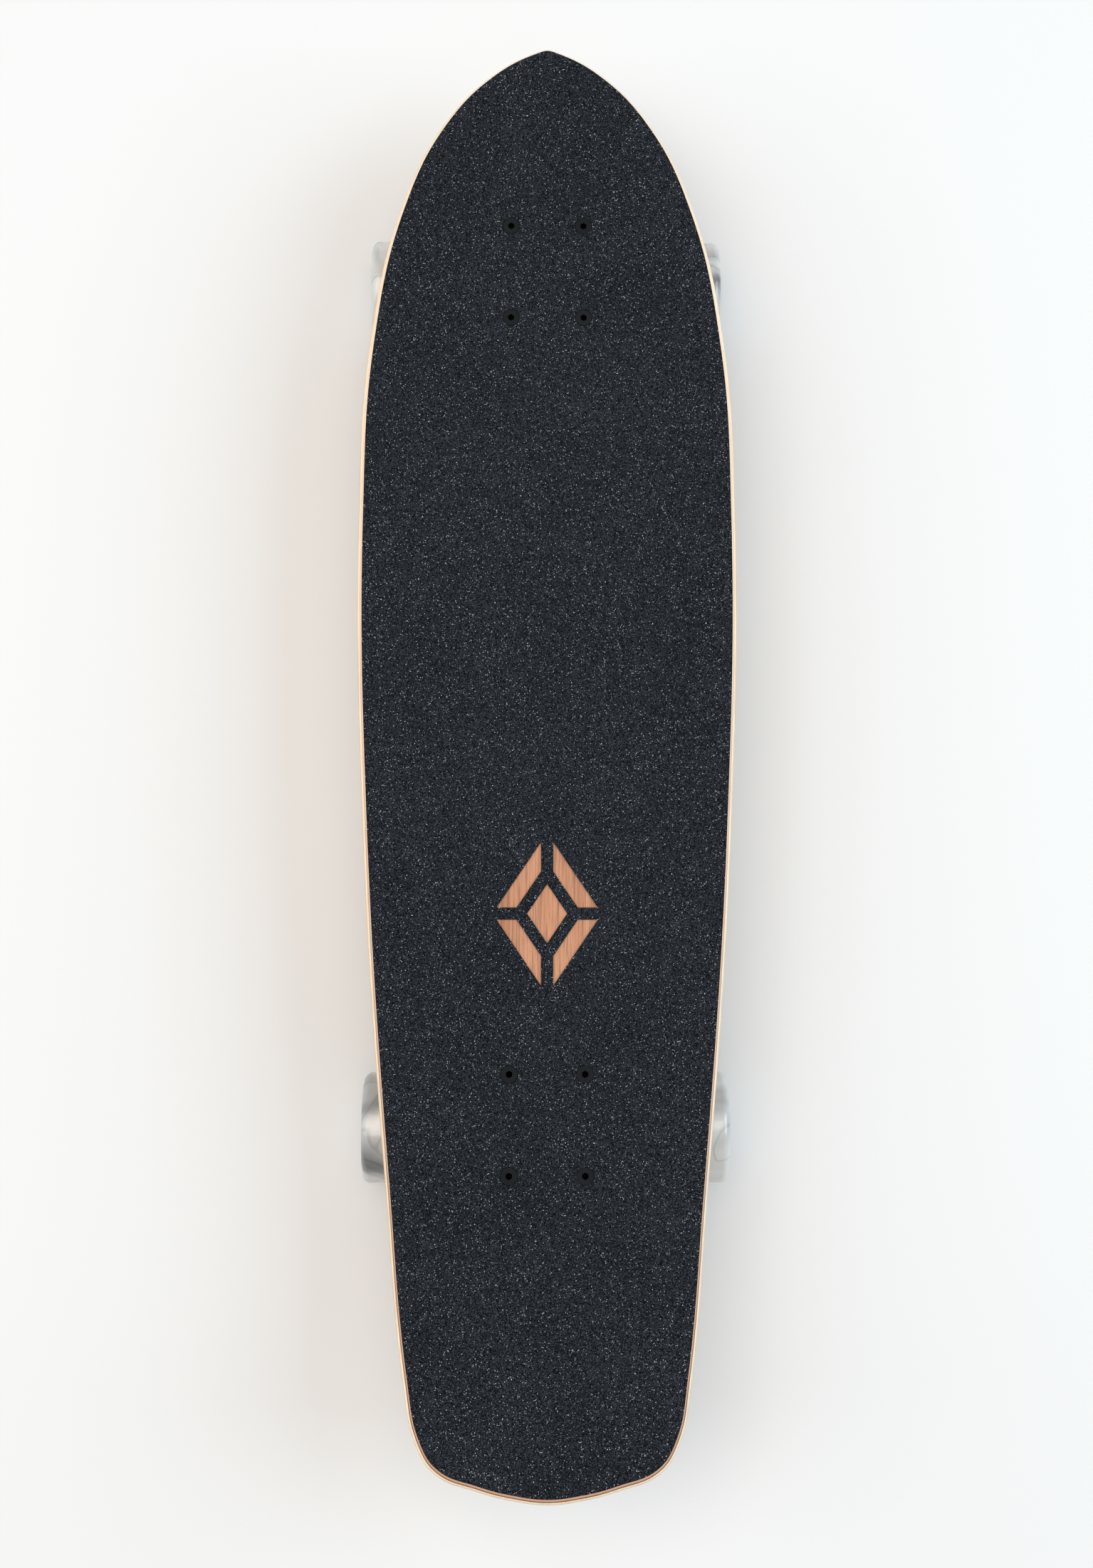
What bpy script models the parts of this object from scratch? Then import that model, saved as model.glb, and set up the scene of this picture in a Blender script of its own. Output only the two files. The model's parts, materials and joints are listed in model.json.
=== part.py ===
# Cruiser skateboard: a pressed seven-ply deck on two kingpin trucks with four urethane wheels.
# Run with: blender --background --python part.py
# Metres, +Z up, +Y to the nose, +X to the rider's right seen from above, Z = 0 on the ground.

import math

import bmesh
import bpy
from mathutils import Matrix, Vector

# Clearances
SEAT_GAP = 0.0003           # between pieces stacked or fitted together
FLAT_GAP = 0.0001           # between flat faces bolted together
GLUE_LINE = 0.00005         # between two veneers
PRESS_GAP = 0.00015         # round a pressed-in piece
TRIM_ALLOWANCE = 0.0001     # blank left over each face before the veneers are cut from it

# Deck
DECK_WIDTH = 0.2136
DECK_THICKNESS = 0.011
PLY_COUNT = 7
TRUCK_SPACING = 0.477       # between the centres of the two hole patterns
NOSE_OVERHANG = 0.1332      # hole pattern centre to nose tip, along the board
TAIL_OVERHANG = 0.1939      # hole pattern centre to tail end, along the board
BEND_MARGIN = 0.009         # flat deck beyond the baseplate's end
NOSE_ANGLE = math.radians(6)
NOSE_BEND_RADIUS = 0.5
TAIL_ANGLE = math.radians(17)
TAIL_BEND_RADIUS = 0.2
FLAT_WIDTH = 0.064          # strip along the middle that stays flat
CONCAVE_RADIUS = 0.49
CONCAVE_STEPS = 2
NOSE_STEPS = 1
TAIL_STEPS = 3

# Outline of the flat blank: share of the half width, and share of the way from the middle
# between the trucks to the nose tip (positive) or to the tail end (negative)
OUTLINE = [
    (0.000, 1.000),
    (0.047, 0.997),
    (0.293, 0.961),
    (0.564, 0.882),
    (0.791, 0.745),
    (0.949, 0.530),
    (1.000, 0.250),
    (0.963, -0.148),
    (0.817, -0.629),
    (0.714, -0.863),
    (0.651, -0.930),
    (0.557, -0.964),
    (0.346, -0.985),
    (0.000, -1.000),
]
OUTLINE_STEPS = 2

# Grip tape
GRIP_THICKNESS = 0.0008
GRIP_INSET = 0.0024         # from the deck's outer edge
CUTOUT_WIDTH = 0.060
CUTOUT_HEIGHT = 0.088
CUTOUT_BAND = 0.011
CUTOUT_CENTRE = -0.125      # along the board, from the middle between the trucks
CUTOUT_CORE = 0.022

# Mounting hardware
HOLE_SPACING_X = 0.041275
HOLE_SPACING_Y = 0.053975
HOLE_SIDES = 6
BOLT_RADIUS = 0.0024
BOLT_HEAD_RADIUS = 0.0047
BOLT_END = 0.0015           # thread past the nut
SOCKET_RADIUS = 0.00175
SOCKET_DEPTH = 0.0021
LOCKNUT_RADIUS = 0.0046
LOCKNUT_HEIGHT = 0.005

# Riser and baseplate
RISER_THICKNESS = 0.003
PLATE_WIDTH = 0.057
PLATE_LENGTH = 0.082
PLATE_THICKNESS = 0.005
PLATE_CORNER = 0.011

# Truck geometry, measured in the truck's own frame: Y outboard, Z up, Z = 0 at the plate's top
TRUCK_HEIGHT = 0.053        # plate's top to the axle's centre
AXLE_OFFSET = 0.008         # axle outboard of the hole pattern's centre
KINGPIN_LEAN = math.radians(22)
KINGPIN_START = -0.006      # where the kingpin's axis meets the plate's top
KINGPIN_RADIUS = 0.00475
KINGPIN_HEAD_RADIUS = 0.008
KINGPIN_HEAD_HEIGHT = 0.005
KINGPIN_HEAD_DEPTH = 0.0042
KINGPIN_END = 0.0011        # thread past the nut
KINGPIN_NUT_RADIUS = 0.0081
KINGPIN_NUT_HEIGHT = 0.008
KINGPIN_BOSS_RADIUS = 0.0148
KINGPIN_BOSS_LENGTH = 0.015
RING_DEPTH = 0.036          # plate's top to the ring's centre, along the kingpin
RING_RADIUS = 0.017
RING_THICKNESS = 0.009
RING_BORE = 0.007
BUSHING_SEAT_DEPTH = 0.0019
BUSHING_RADIUS = 0.012
BUSHING_WAIST = 0.0112
CONE_TIP_RADIUS = 0.0095
ROADSIDE_LENGTH = 0.0117
WASHER_RADIUS = 0.0125
WASHER_THICKNESS = 0.0015
PIVOT_Y = 0.026
PIVOT_DROP = 0.0125         # pivot centre below the plate's top
STEM_RADIUS = 0.0052
STEM_LENGTH = 0.0165
CUP_RADIUS = 0.008
CUP_FLOOR = 0.002
CUP_MOUTH = 0.0083          # pivot centre to the cup's mouth
CUP_FLANGE_RADIUS = 0.0094
CUP_FLANGE = 0.0014
PIVOT_BOSS_RADIUS = 0.0115
PIVOT_BOSS_END = 0.0027     # metal behind the cup

# Hanger and axle
HANGER_WIDTH = 0.1386
AXLE_RADIUS = 0.004
AXLE_END = 0.0005           # thread past the nut
ARM_END_RADIUS = 0.0078
ARM_MID_RADIUS = 0.0095
ARM_ROOT_RADIUS = 0.0125
WEB_THICKNESS = 0.009
WEB_RING_HALF = 0.0135
WEB_AXLE_HALF = 0.041
POST_TOP_RADIUS = 0.0065
POST_ROOT_RADIUS = 0.0115

# Wheel and bearings
WHEEL_RADIUS = 0.031
WHEEL_WIDTH = 0.042
TREAD_HALF = 0.0150
LIP_RADIUS = 0.0255         # where the side face starts
DISH_RADIUS = 0.0225
HUB_RADIUS = 0.0140
BEARING_RADIUS = 0.011
BEARING_WIDTH = 0.007
BEARING_SPACING = 0.010
SHIELD_BORE = 0.0063
RACE_RADIUS = 0.006
SPEED_WASHER = 0.0009
AXLE_NUT_RADIUS = 0.0075
AXLE_NUT_HEIGHT = 0.0068

# Heights above the ground
DECK_UNDERSIDE = WHEEL_RADIUS + TRUCK_HEIGHT + RISER_THICKNESS + 2 * FLAT_GAP
DECK_MIDDLE = DECK_UNDERSIDE + DECK_THICKNESS / 2
GRIP_LOW = DECK_THICKNESS / 2 + GLUE_LINE
GRIP_TOP = GRIP_LOW + GRIP_THICKNESS
PLATE_TOP = -RISER_THICKNESS - 2 * FLAT_GAP     # from the deck's underside

# Along the board
NOSE_TIP = TRUCK_SPACING / 2 + NOSE_OVERHANG
TAIL_TIP = TRUCK_SPACING / 2 + TAIL_OVERHANG
NOSE_BEND_START = TRUCK_SPACING / 2 + PLATE_LENGTH / 2 + BEND_MARGIN
TAIL_BEND_START = NOSE_BEND_START

# Kingpin stack, as distances along the kingpin from the plate's top
UPPER_WASHER_AT = KINGPIN_BOSS_LENGTH + SEAT_GAP
BOARDSIDE_AT = UPPER_WASHER_AT + WASHER_THICKNESS + SEAT_GAP
RING_UPPER_SEAT = RING_DEPTH - RING_THICKNESS / 2 + BUSHING_SEAT_DEPTH
RING_LOWER_SEAT = RING_DEPTH + RING_THICKNESS / 2 - BUSHING_SEAT_DEPTH
BOARDSIDE_LENGTH = RING_UPPER_SEAT - SEAT_GAP - BOARDSIDE_AT
ROADSIDE_AT = RING_LOWER_SEAT + SEAT_GAP
LOWER_WASHER_AT = ROADSIDE_AT + ROADSIDE_LENGTH + SEAT_GAP
KINGPIN_NUT_AT = LOWER_WASHER_AT + WASHER_THICKNESS + SEAT_GAP
KINGPIN_TIP = KINGPIN_NUT_AT + KINGPIN_NUT_HEIGHT + KINGPIN_END

# Steering axis, from the ring's centre up and outboard to the pivot
RING_CENTRE = Vector((0, KINGPIN_START - RING_DEPTH * math.sin(KINGPIN_LEAN),
                      -RING_DEPTH * math.cos(KINGPIN_LEAN)))
PIVOT_CENTRE = Vector((0, PIVOT_Y, -PIVOT_DROP))
AXLE_CENTRE = Vector((0, AXLE_OFFSET, -TRUCK_HEIGHT))
STEERING_AXIS = (PIVOT_CENTRE - RING_CENTRE).normalized()
STEERING_TILT = math.atan2(STEERING_AXIS.z, STEERING_AXIS.y) - math.pi / 2

# Along the axle
BEARING_INNER = BEARING_SPACING / 2
BEARING_OUTER = BEARING_INNER + BEARING_WIDTH
SLEEVE_HALF = BEARING_OUTER + SPEED_WASHER
WHEEL_AT = HANGER_WIDTH / 2 + SEAT_GAP + SLEEVE_HALF
AXLE_HALF = WHEEL_AT + SLEEVE_HALF + SEAT_GAP + AXLE_NUT_HEIGHT + AXLE_END

PARTS_NAME = "cruiser_skateboard"
CUTTERS_NAME = "cutters"


# Scene, collections and materials

def clear_scene():
    for old in list(bpy.data.objects):
        bpy.data.objects.remove(old, do_unlink=True)


def make_collection(name):
    collection = bpy.data.collections.new(name)
    bpy.context.scene.collection.children.link(collection)
    return collection


def make_material(name, colour, roughness, metallic=0.0):
    material = bpy.data.materials.new(name)
    material.use_nodes = True
    shader = material.node_tree.nodes["Principled BSDF"]
    shader.inputs["Base Color"].default_value = (*colour, 1.0)
    shader.inputs["Roughness"].default_value = roughness
    shader.inputs["Metallic"].default_value = metallic
    material.diffuse_color = (*colour, 1.0)
    return material


def add_empty(name, parent=None, location=(0, 0, 0), rotation=(0, 0, 0)):
    empty = bpy.data.objects.new(name, None)
    parts.objects.link(empty)
    empty.parent = parent
    empty.location = location
    empty.rotation_euler = rotation
    return empty


def add_part(name, mesh, material, parent=None, location=(0, 0, 0), rotation=(0, 0, 0)):
    obj = bpy.data.objects.new(name, mesh)
    parts.objects.link(obj)
    obj.parent = parent
    obj.location = location
    obj.rotation_euler = rotation
    if not mesh.materials:
        mesh.materials.append(material)
    mesh.shade_smooth()
    mesh.set_sharp_from_angle(angle=math.radians(35))
    return obj


def add_tool(name, mesh):
    tool = bpy.data.objects.new(name, mesh)
    cutters.objects.link(tool)
    tool.hide_render = True
    tool.display_type = 'WIRE'
    return tool


def evaluated_mesh(obj, name):
    depsgraph = bpy.context.evaluated_depsgraph_get()
    mesh = bpy.data.meshes.new_from_object(obj.evaluated_get(depsgraph))
    mesh.name = name
    return mesh


def mesh_from(bm, name):
    mesh = bpy.data.meshes.new(name)
    bm.to_mesh(mesh)
    bm.free()
    return mesh


# Basic shapes

def turned(name, profile, steps, closed=True):
    """A profile of (radius, height) points, outer side from top to bottom, turned about Z."""
    mesh = bpy.data.meshes.new(name)
    points = [(radius, 0, height) for radius, height in profile]
    edges = [(i, i + 1) for i in range(len(points) - 1)]
    if closed:
        edges.append((len(points) - 1, 0))
    mesh.from_pydata(points, edges, [])
    blank = add_tool(name, mesh)
    screw = blank.modifiers.new("turn", 'SCREW')
    screw.axis = 'Z'
    screw.angle = math.tau
    screw.steps = steps
    screw.render_steps = steps
    screw.use_merge_vertices = True
    screw.merge_threshold = 0.00001
    result = evaluated_mesh(blank, name)
    bpy.data.objects.remove(blank, do_unlink=True)
    return result


def cone(name, radius_low, radius_high, low, high, segments):
    bm = bmesh.new()
    bmesh.ops.create_cone(bm, cap_ends=True, segments=segments, radius1=radius_low,
                          radius2=radius_high, depth=high - low)
    bmesh.ops.translate(bm, verts=bm.verts, vec=(0, 0, (low + high) / 2))
    return mesh_from(bm, name)


def round_a_circle(radius, sides):
    """Radius of a polygon's corners whose sides touch a circle of the given radius."""
    return radius / math.cos(math.pi / sides)


def block(name, size, centre=(0, 0, 0), corner=0.0, corner_steps=2):
    """A box whose upright edges are rounded by corner."""
    bm = bmesh.new()
    bmesh.ops.create_cube(bm, size=1)
    bmesh.ops.scale(bm, verts=bm.verts, vec=size)
    if corner > 0:
        upright = [e for e in bm.edges if abs(e.verts[0].co.z - e.verts[1].co.z) > size[2] / 2]
        bmesh.ops.bevel(bm, geom=upright, offset=corner, segments=corner_steps, profile=0.5,
                        affect='EDGES')
    bmesh.ops.translate(bm, verts=bm.verts, vec=centre)
    return mesh_from(bm, name)


def moved(mesh, location=(0, 0, 0), tilt=0.0, heading=0.0):
    """Turn a mesh about X by tilt, then about Z by heading, and move it."""
    turn = Matrix.Rotation(heading, 4, 'Z') @ Matrix.Rotation(tilt, 4, 'X')
    mesh.transform(Matrix.Translation(location) @ turn)
    return mesh


def joined(name, meshes):
    bm = bmesh.new()
    for mesh in meshes:
        bm.from_mesh(mesh)
    return mesh_from(bm, name)


def combine(name, base, additions=(), cuts=()):
    """Boolean unions of the additions, then cuts, on the base mesh."""
    body = add_tool(name, base)
    tools = []
    for kind, meshes in (('UNION', additions), ('DIFFERENCE', cuts)):
        for mesh in meshes:
            tool = add_tool(mesh.name + "_tool", mesh)
            modifier = body.modifiers.new(mesh.name, 'BOOLEAN')
            modifier.operation = kind
            modifier.solver = 'EXACT'
            modifier.object = tool
            tools.append(tool)
    result = evaluated_mesh(body, name)
    for used in [body] + tools:
        bpy.data.objects.remove(used, do_unlink=True)
    return result


# Deck

def along_board(share):
    return share * (NOSE_TIP if share > 0 else TAIL_TIP)


def press_places():
    """Where the press bends the blank: places across it and places along it."""
    side = (DECK_WIDTH - FLAT_WIDTH) / 2
    across = [0.0] + [FLAT_WIDTH / 2 + side * i / CONCAVE_STEPS for i in range(CONCAVE_STEPS + 1)]
    nose_bend = NOSE_ANGLE * NOSE_BEND_RADIUS
    tail_bend = TAIL_ANGLE * TAIL_BEND_RADIUS
    along = [-TAIL_TIP]
    along += [-TAIL_BEND_START - tail_bend * i / TAIL_STEPS for i in range(TAIL_STEPS, -1, -1)]
    along += [NOSE_BEND_START + nose_bend * i / NOSE_STEPS for i in range(NOSE_STEPS + 1)]
    return across, along + [NOSE_TIP]


def concave(x, z):
    """Distance across and rise of a point of the blank's cross section."""
    lean = max(x - FLAT_WIDTH / 2, 0.0) / CONCAVE_RADIUS
    across = min(x, FLAT_WIDTH / 2) + (CONCAVE_RADIUS - z) * math.sin(lean)
    return Vector((across, CONCAVE_RADIUS * (1 - math.cos(lean)) + z * math.cos(lean)))


def kick(s, up):
    """Forward place and height of a point that stands up above blank place s."""
    sign, start, radius, angle = 1, NOSE_BEND_START, NOSE_BEND_RADIUS, NOSE_ANGLE
    if s < 0:
        sign, start, radius, angle = -1, TAIL_BEND_START, TAIL_BEND_RADIUS, TAIL_ANGLE
    past = max(abs(s) - start, 0.0)
    bent = min(past / radius, angle)
    straight = past - bent * radius
    forward = abs(s) - past + radius * math.sin(bent) + straight * math.cos(bent)
    rise = radius * (1 - math.cos(bent)) + straight * math.sin(bent)
    return Vector((sign * (forward - up * math.sin(bent)), rise + up * math.cos(bent)))


def between(places, value):
    """The two neighbouring places round a value, and its share of the way between them."""
    i = 0
    while i < len(places) - 2 and value > places[i + 1]:
        i += 1
    return places[i], places[i + 1], (value - places[i]) / (places[i + 1] - places[i])


def press(point):
    """Carry a point of the flat blank to its place in the pressed deck."""
    across_places, along_places = press_places()
    near, far, share = between(across_places, abs(point.x))
    across, up = concave(near, point.z).lerp(concave(far, point.z), share)
    near, far, share = between(along_places, point.y)
    forward, height = kick(near, up).lerp(kick(far, up), share)
    return Vector((math.copysign(across, point.x), forward, DECK_MIDDLE + height))


def outline_solid(name, inset, half_height, edge_radius=0.0):
    """The blank's outline as a flat curve, extruded, with its rims rounded."""
    curve = bpy.data.curves.new(name, 'CURVE')
    curve.dimensions = '2D'
    curve.fill_mode = 'BOTH'
    curve.resolution_u = OUTLINE_STEPS
    curve.render_resolution_u = 0
    curve.offset = -inset - edge_radius
    curve.extrude = half_height - edge_radius
    curve.bevel_depth = edge_radius
    curve.bevel_resolution = 0
    right = [(across * DECK_WIDTH / 2, along_board(share)) for across, share in OUTLINE]
    left = [(-x, y) for x, y in reversed(right[1:-1])]
    spline = curve.splines.new('BEZIER')
    spline.bezier_points.add(len(right) + len(left) - 1)
    for point, (x, y) in zip(spline.bezier_points, right + left):
        point.co = (x, y, 0)
        point.handle_left_type = 'AUTO'
        point.handle_right_type = 'AUTO'
    spline.use_cyclic_u = True
    obj = bpy.data.objects.new(name, curve)
    cutters.objects.link(obj)
    mesh = evaluated_mesh(obj, name)
    bpy.data.objects.remove(obj, do_unlink=True)
    bm = bmesh.new()
    bm.from_mesh(mesh)
    bmesh.ops.remove_doubles(bm, verts=bm.verts, dist=0.00001)
    bmesh.ops.recalc_face_normals(bm, faces=bm.faces)
    return mesh_from(bm, name)


def gridded_slab(name, low, high):
    """A slab larger than the deck, with an edge at each line where the press bends it."""
    margin = 0.01
    bm = bmesh.new()
    bmesh.ops.create_cube(bm, size=1)
    size = (DECK_WIDTH + 2 * margin, NOSE_TIP + TAIL_TIP + 2 * margin, high - low)
    bmesh.ops.scale(bm, verts=bm.verts, vec=size)
    middle = Vector((0, (NOSE_TIP - TAIL_TIP) / 2, (low + high) / 2))
    bmesh.ops.translate(bm, verts=bm.verts, vec=middle)
    across, along = press_places()
    lines = [(Vector((1, 0, 0)), side * x) for side in (-1, 1) for x in across[1:-1]]
    lines += [(Vector((0, 1, 0)), y) for y in along[1:-1]]
    for normal, distance in lines:
        geometry = bm.verts[:] + bm.edges[:] + bm.faces[:]
        bmesh.ops.bisect_plane(bm, geom=geometry, dist=0.000001, plane_co=normal * distance,
                               plane_no=normal)
    return mesh_from(bm, name)


def truck_places():
    return [("front", TRUCK_SPACING / 2, 0.0), ("rear", -TRUCK_SPACING / 2, math.pi)]


def bolt_places():
    """Name and place of every mounting bolt on the flat blank."""
    places = []
    for end, centre, _ in truck_places():
        for row, y in (("nose", 1), ("tail", -1)):
            for side, x in (("left", -1), ("right", 1)):
                place = (x * HOLE_SPACING_X / 2, centre + y * HOLE_SPACING_Y / 2)
                places.append((f"{end}_bolt_{row}_{side}", place))
    return places


def bolt_hole_tool():
    """One clearance hole with its countersink for each mounting bolt."""
    radius = round_a_circle(BOLT_RADIUS + SEAT_GAP, HOLE_SIDES)
    head = round_a_circle(BOLT_HEAD_RADIUS + SEAT_GAP, HOLE_SIDES)
    cone_bottom = GRIP_TOP - (BOLT_HEAD_RADIUS - BOLT_RADIUS)
    profile = [(0, GRIP_TOP + 0.002), (head, GRIP_TOP + 0.002), (head, GRIP_TOP - SEAT_GAP),
               (radius, cone_bottom - SEAT_GAP), (radius, -DECK_THICKNESS),
               (0, -DECK_THICKNESS)]
    holes = []
    for _, (x, y) in bolt_places():
        hole = turned("bolt_hole", profile, HOLE_SIDES, closed=False)
        holes.append(moved(hole, (x, y, 0)))
    return joined("bolt_holes", holes)


def lozenge(name, width, height, centre):
    """An upright prism over a lozenge, long enough to cut through the grip tape."""
    mesh = cone(name, 0.5, 0.5, GRIP_LOW - 0.001, GRIP_TOP + 0.001, 4)
    mesh.transform(Matrix.Translation(centre) @ Matrix.Diagonal((width, height, 1, 1)))
    return mesh


def cutout_tools():
    """Openings in the grip tape: a ring of four bars round a small lozenge."""
    centre = Vector((0, CUTOUT_CENTRE, 0))
    outer = lozenge("cutout_outer", CUTOUT_WIDTH, CUTOUT_HEIGHT, centre)
    shrink = 1 - 2 * CUTOUT_BAND / CUTOUT_WIDTH
    inner = lozenge("cutout_inner", CUTOUT_WIDTH * shrink, CUTOUT_HEIGHT * shrink, centre)
    bridge = CUTOUT_BAND * 0.6
    bars = [block("cutout_bar", (bridge, CUTOUT_HEIGHT * 1.2, 0.02), centre),
            block("cutout_bar", (CUTOUT_WIDTH * 1.2, bridge, 0.02), centre)]
    band = combine("cutout_band", outer, cuts=[inner] + bars)
    aspect = CUTOUT_HEIGHT / CUTOUT_WIDTH
    core = lozenge("cutout_core", CUTOUT_CORE, CUTOUT_CORE * aspect, centre)
    return [joined("cutouts", [band, core])]


def veneer(name, low, high, solid, cuts):
    """A layer of the flat blank between two heights, cut to the outline and pressed."""
    layer = add_tool(name, gridded_slab(name, low, high))
    outline = add_tool(name + "_outline", solid)
    trim = layer.modifiers.new("outline", 'BOOLEAN')
    trim.operation = 'INTERSECT'
    trim.solver = 'EXACT'
    trim.object = outline
    tools = [layer, outline]
    for cut in cuts:
        tool = add_tool(name + "_cut", cut)
        hole = layer.modifiers.new("cut", 'BOOLEAN')
        hole.operation = 'DIFFERENCE'
        hole.solver = 'EXACT'
        hole.object = tool
        tools.append(tool)
    mesh = evaluated_mesh(layer, name)
    for used in tools:
        bpy.data.objects.remove(used, do_unlink=True)
    for vertex in mesh.vertices:
        vertex.co = press(vertex.co)
    mesh.update()
    return mesh


def build_deck(board):
    pitch = DECK_THICKNESS / PLY_COUNT
    blank = outline_solid("deck_blank", 0.0, DECK_THICKNESS / 2 + TRIM_ALLOWANCE,
                          pitch + TRIM_ALLOWANCE)
    holes = bolt_hole_tool()
    for index in range(PLY_COUNT):
        low = -DECK_THICKNESS / 2 + index * pitch + GLUE_LINE / 2
        high = low + pitch - GLUE_LINE
        name = f"deck_ply_{PLY_COUNT - index}"
        colour = VENEER_COLOURS[(PLY_COUNT - 1 - index) % len(VENEER_COLOURS)]
        wood = make_material(name, colour, 0.5)
        add_part(name, veneer(name, low, high, blank, [holes]), wood, board)
    sheet = outline_solid("grip_outline", GRIP_INSET, GRIP_TOP + TRIM_ALLOWANCE)
    grip = veneer("grip_tape", GRIP_LOW, GRIP_TOP, sheet, [holes] + cutout_tools())
    add_part("grip_tape", grip, make_material("grip_tape", (0.02, 0.025, 0.034), 0.9), board)


def centre_on_origin(board):
    """Slide the board along Y so that its bounding box is centred on the origin."""
    reach = [vertex.co.y for ply in board.children for vertex in ply.data.vertices]
    board.location.y = -(min(reach) + max(reach)) / 2


# Mounting hardware

def mounting_bolt():
    """A countersunk socket bolt with its lock nut, from the grip tape down past the plate."""
    nut_top = -DECK_THICKNESS / 2 + PLATE_TOP - PLATE_THICKNESS - FLAT_GAP
    nut_low = nut_top - LOCKNUT_HEIGHT
    cone_bottom = GRIP_TOP - (BOLT_HEAD_RADIUS - BOLT_RADIUS)
    profile = [(0, GRIP_TOP), (BOLT_HEAD_RADIUS, GRIP_TOP), (BOLT_RADIUS, cone_bottom),
               (BOLT_RADIUS, nut_low - BOLT_END), (0, nut_low - BOLT_END)]
    shank = turned("mounting_bolt", profile, 8, closed=False)
    nut = cone("lock_nut", LOCKNUT_RADIUS, LOCKNUT_RADIUS, nut_low, nut_top, 6)
    socket = cone("socket", SOCKET_RADIUS, SOCKET_RADIUS, GRIP_TOP - SOCKET_DEPTH,
                  GRIP_TOP + 0.001, 6)
    return combine("mounting_bolt", shank, [nut], [socket])


def build_bolts(board):
    mesh = mounting_bolt()
    steel = make_material("black_bolt", (0.02, 0.02, 0.022), 0.4, 0.8)
    for name, (x, y) in bolt_places():
        add_part(name, mesh, steel, board, (x, y, DECK_MIDDLE))


# Truck: pieces fixed to the deck

def plate_hole_places():
    return [(x * HOLE_SPACING_X / 2, y * HOLE_SPACING_Y / 2) for x in (-1, 1) for y in (-1, 1)]


def plate_holes(low, high):
    radius = round_a_circle(BOLT_RADIUS + SEAT_GAP, HOLE_SIDES)
    holes = [moved(cone("plate_hole", radius, radius, low, high, HOLE_SIDES), (x, y, 0))
             for x, y in plate_hole_places()]
    return joined("plate_holes", holes)


def on_kingpin(mesh, depth=0.0):
    """Move a mesh that hangs from the plate's top onto the leaning kingpin."""
    mesh.transform(Matrix.Translation((0, 0, -depth)))
    return moved(mesh, (0, KINGPIN_START, 0), tilt=-KINGPIN_LEAN)


def on_pivot(mesh):
    """Move a mesh made about Z, pivot centre at its origin, onto the steering axis."""
    return moved(mesh, PIVOT_CENTRE, tilt=STEERING_TILT)


def riser_pad():
    middle = (0, 0, -FLAT_GAP - RISER_THICKNESS / 2)
    size = (PLATE_WIDTH, PLATE_LENGTH, RISER_THICKNESS)
    pad = block("riser_pad", size, middle, PLATE_CORNER)
    return combine("riser_pad", pad, cuts=[plate_holes(-0.02, 0.02)])


def baseplate():
    """The cast plate with its leaning kingpin boss, pivot housing and the rib between them."""
    size = (PLATE_WIDTH, PLATE_LENGTH, PLATE_THICKNESS)
    plate = block("plate", size, (0, 0, -PLATE_THICKNESS / 2), PLATE_CORNER)
    boss = on_kingpin(cone("kingpin_boss", KINGPIN_BOSS_RADIUS, KINGPIN_BOSS_RADIUS,
                           -KINGPIN_BOSS_LENGTH, 0.004, 20))
    housing = on_pivot(cone("pivot_housing", PIVOT_BOSS_RADIUS, PIVOT_BOSS_RADIUS, -CUP_MOUTH,
                            STEM_RADIUS + SEAT_GAP * 2 + CUP_FLOOR + PIVOT_BOSS_END, 20))
    rib = block("rib", (0.011, PIVOT_Y - KINGPIN_START, 0.009),
                (0, (PIVOT_Y + KINGPIN_START) / 2, -PLATE_THICKNESS - 0.002))
    above = block("above_plate", (0.2, 0.2, 0.05), (0, 0, 0.025))
    bore_radius = KINGPIN_RADIUS + SEAT_GAP
    bore = on_kingpin(cone("kingpin_bore", bore_radius, bore_radius, -0.03, 0.02, 16))
    head_radius = KINGPIN_HEAD_RADIUS + SEAT_GAP * 2
    head = on_kingpin(cone("head_pocket", head_radius, head_radius,
                           -KINGPIN_HEAD_DEPTH - KINGPIN_HEAD_HEIGHT - SEAT_GAP, 0.02, 6))
    cup_radius = CUP_RADIUS + PRESS_GAP
    cup = on_pivot(cone("cup_pocket", cup_radius, cup_radius, -CUP_MOUTH - 0.02,
                        STEM_RADIUS + SEAT_GAP * 2 + CUP_FLOOR, 18))
    room_radius = CUP_FLANGE_RADIUS + SEAT_GAP * 2
    room = on_pivot(cone("stem_room", room_radius, room_radius, -CUP_MOUTH - 0.03, -CUP_MOUTH, 12))
    cuts = [above, bore, head, cup, room, plate_holes(-0.03, 0.02)]
    return combine("baseplate", plate, [boss, housing, rib], cuts)


def kingpin():
    head_low = -KINGPIN_HEAD_DEPTH - KINGPIN_HEAD_HEIGHT
    head = cone("kingpin_head", KINGPIN_HEAD_RADIUS, KINGPIN_HEAD_RADIUS, head_low,
                -KINGPIN_HEAD_DEPTH, 6)
    chamfer = 0.0008
    profile = [(0, head_low + 0.001), (KINGPIN_RADIUS, head_low + 0.001),
               (KINGPIN_RADIUS, -KINGPIN_TIP + chamfer), (KINGPIN_RADIUS - chamfer, -KINGPIN_TIP),
               (0, -KINGPIN_TIP)]
    shank = turned("kingpin_shank", profile, 14, closed=False)
    return on_kingpin(combine("kingpin", head, [shank]))


def ring_profile(outer, inner, top, low):
    return [(outer, top), (outer, low), (inner, low), (inner, top)]


def cup_washer():
    """A dished washer with a turned-down rim."""
    bore = KINGPIN_RADIUS + SEAT_GAP
    rim = 0.0006
    profile = [(WASHER_RADIUS - rim, 0), (WASHER_RADIUS, -rim), (WASHER_RADIUS, -WASHER_THICKNESS),
               (bore, -WASHER_THICKNESS), (bore, 0)]
    return turned("cup_washer", profile, 14)


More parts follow.
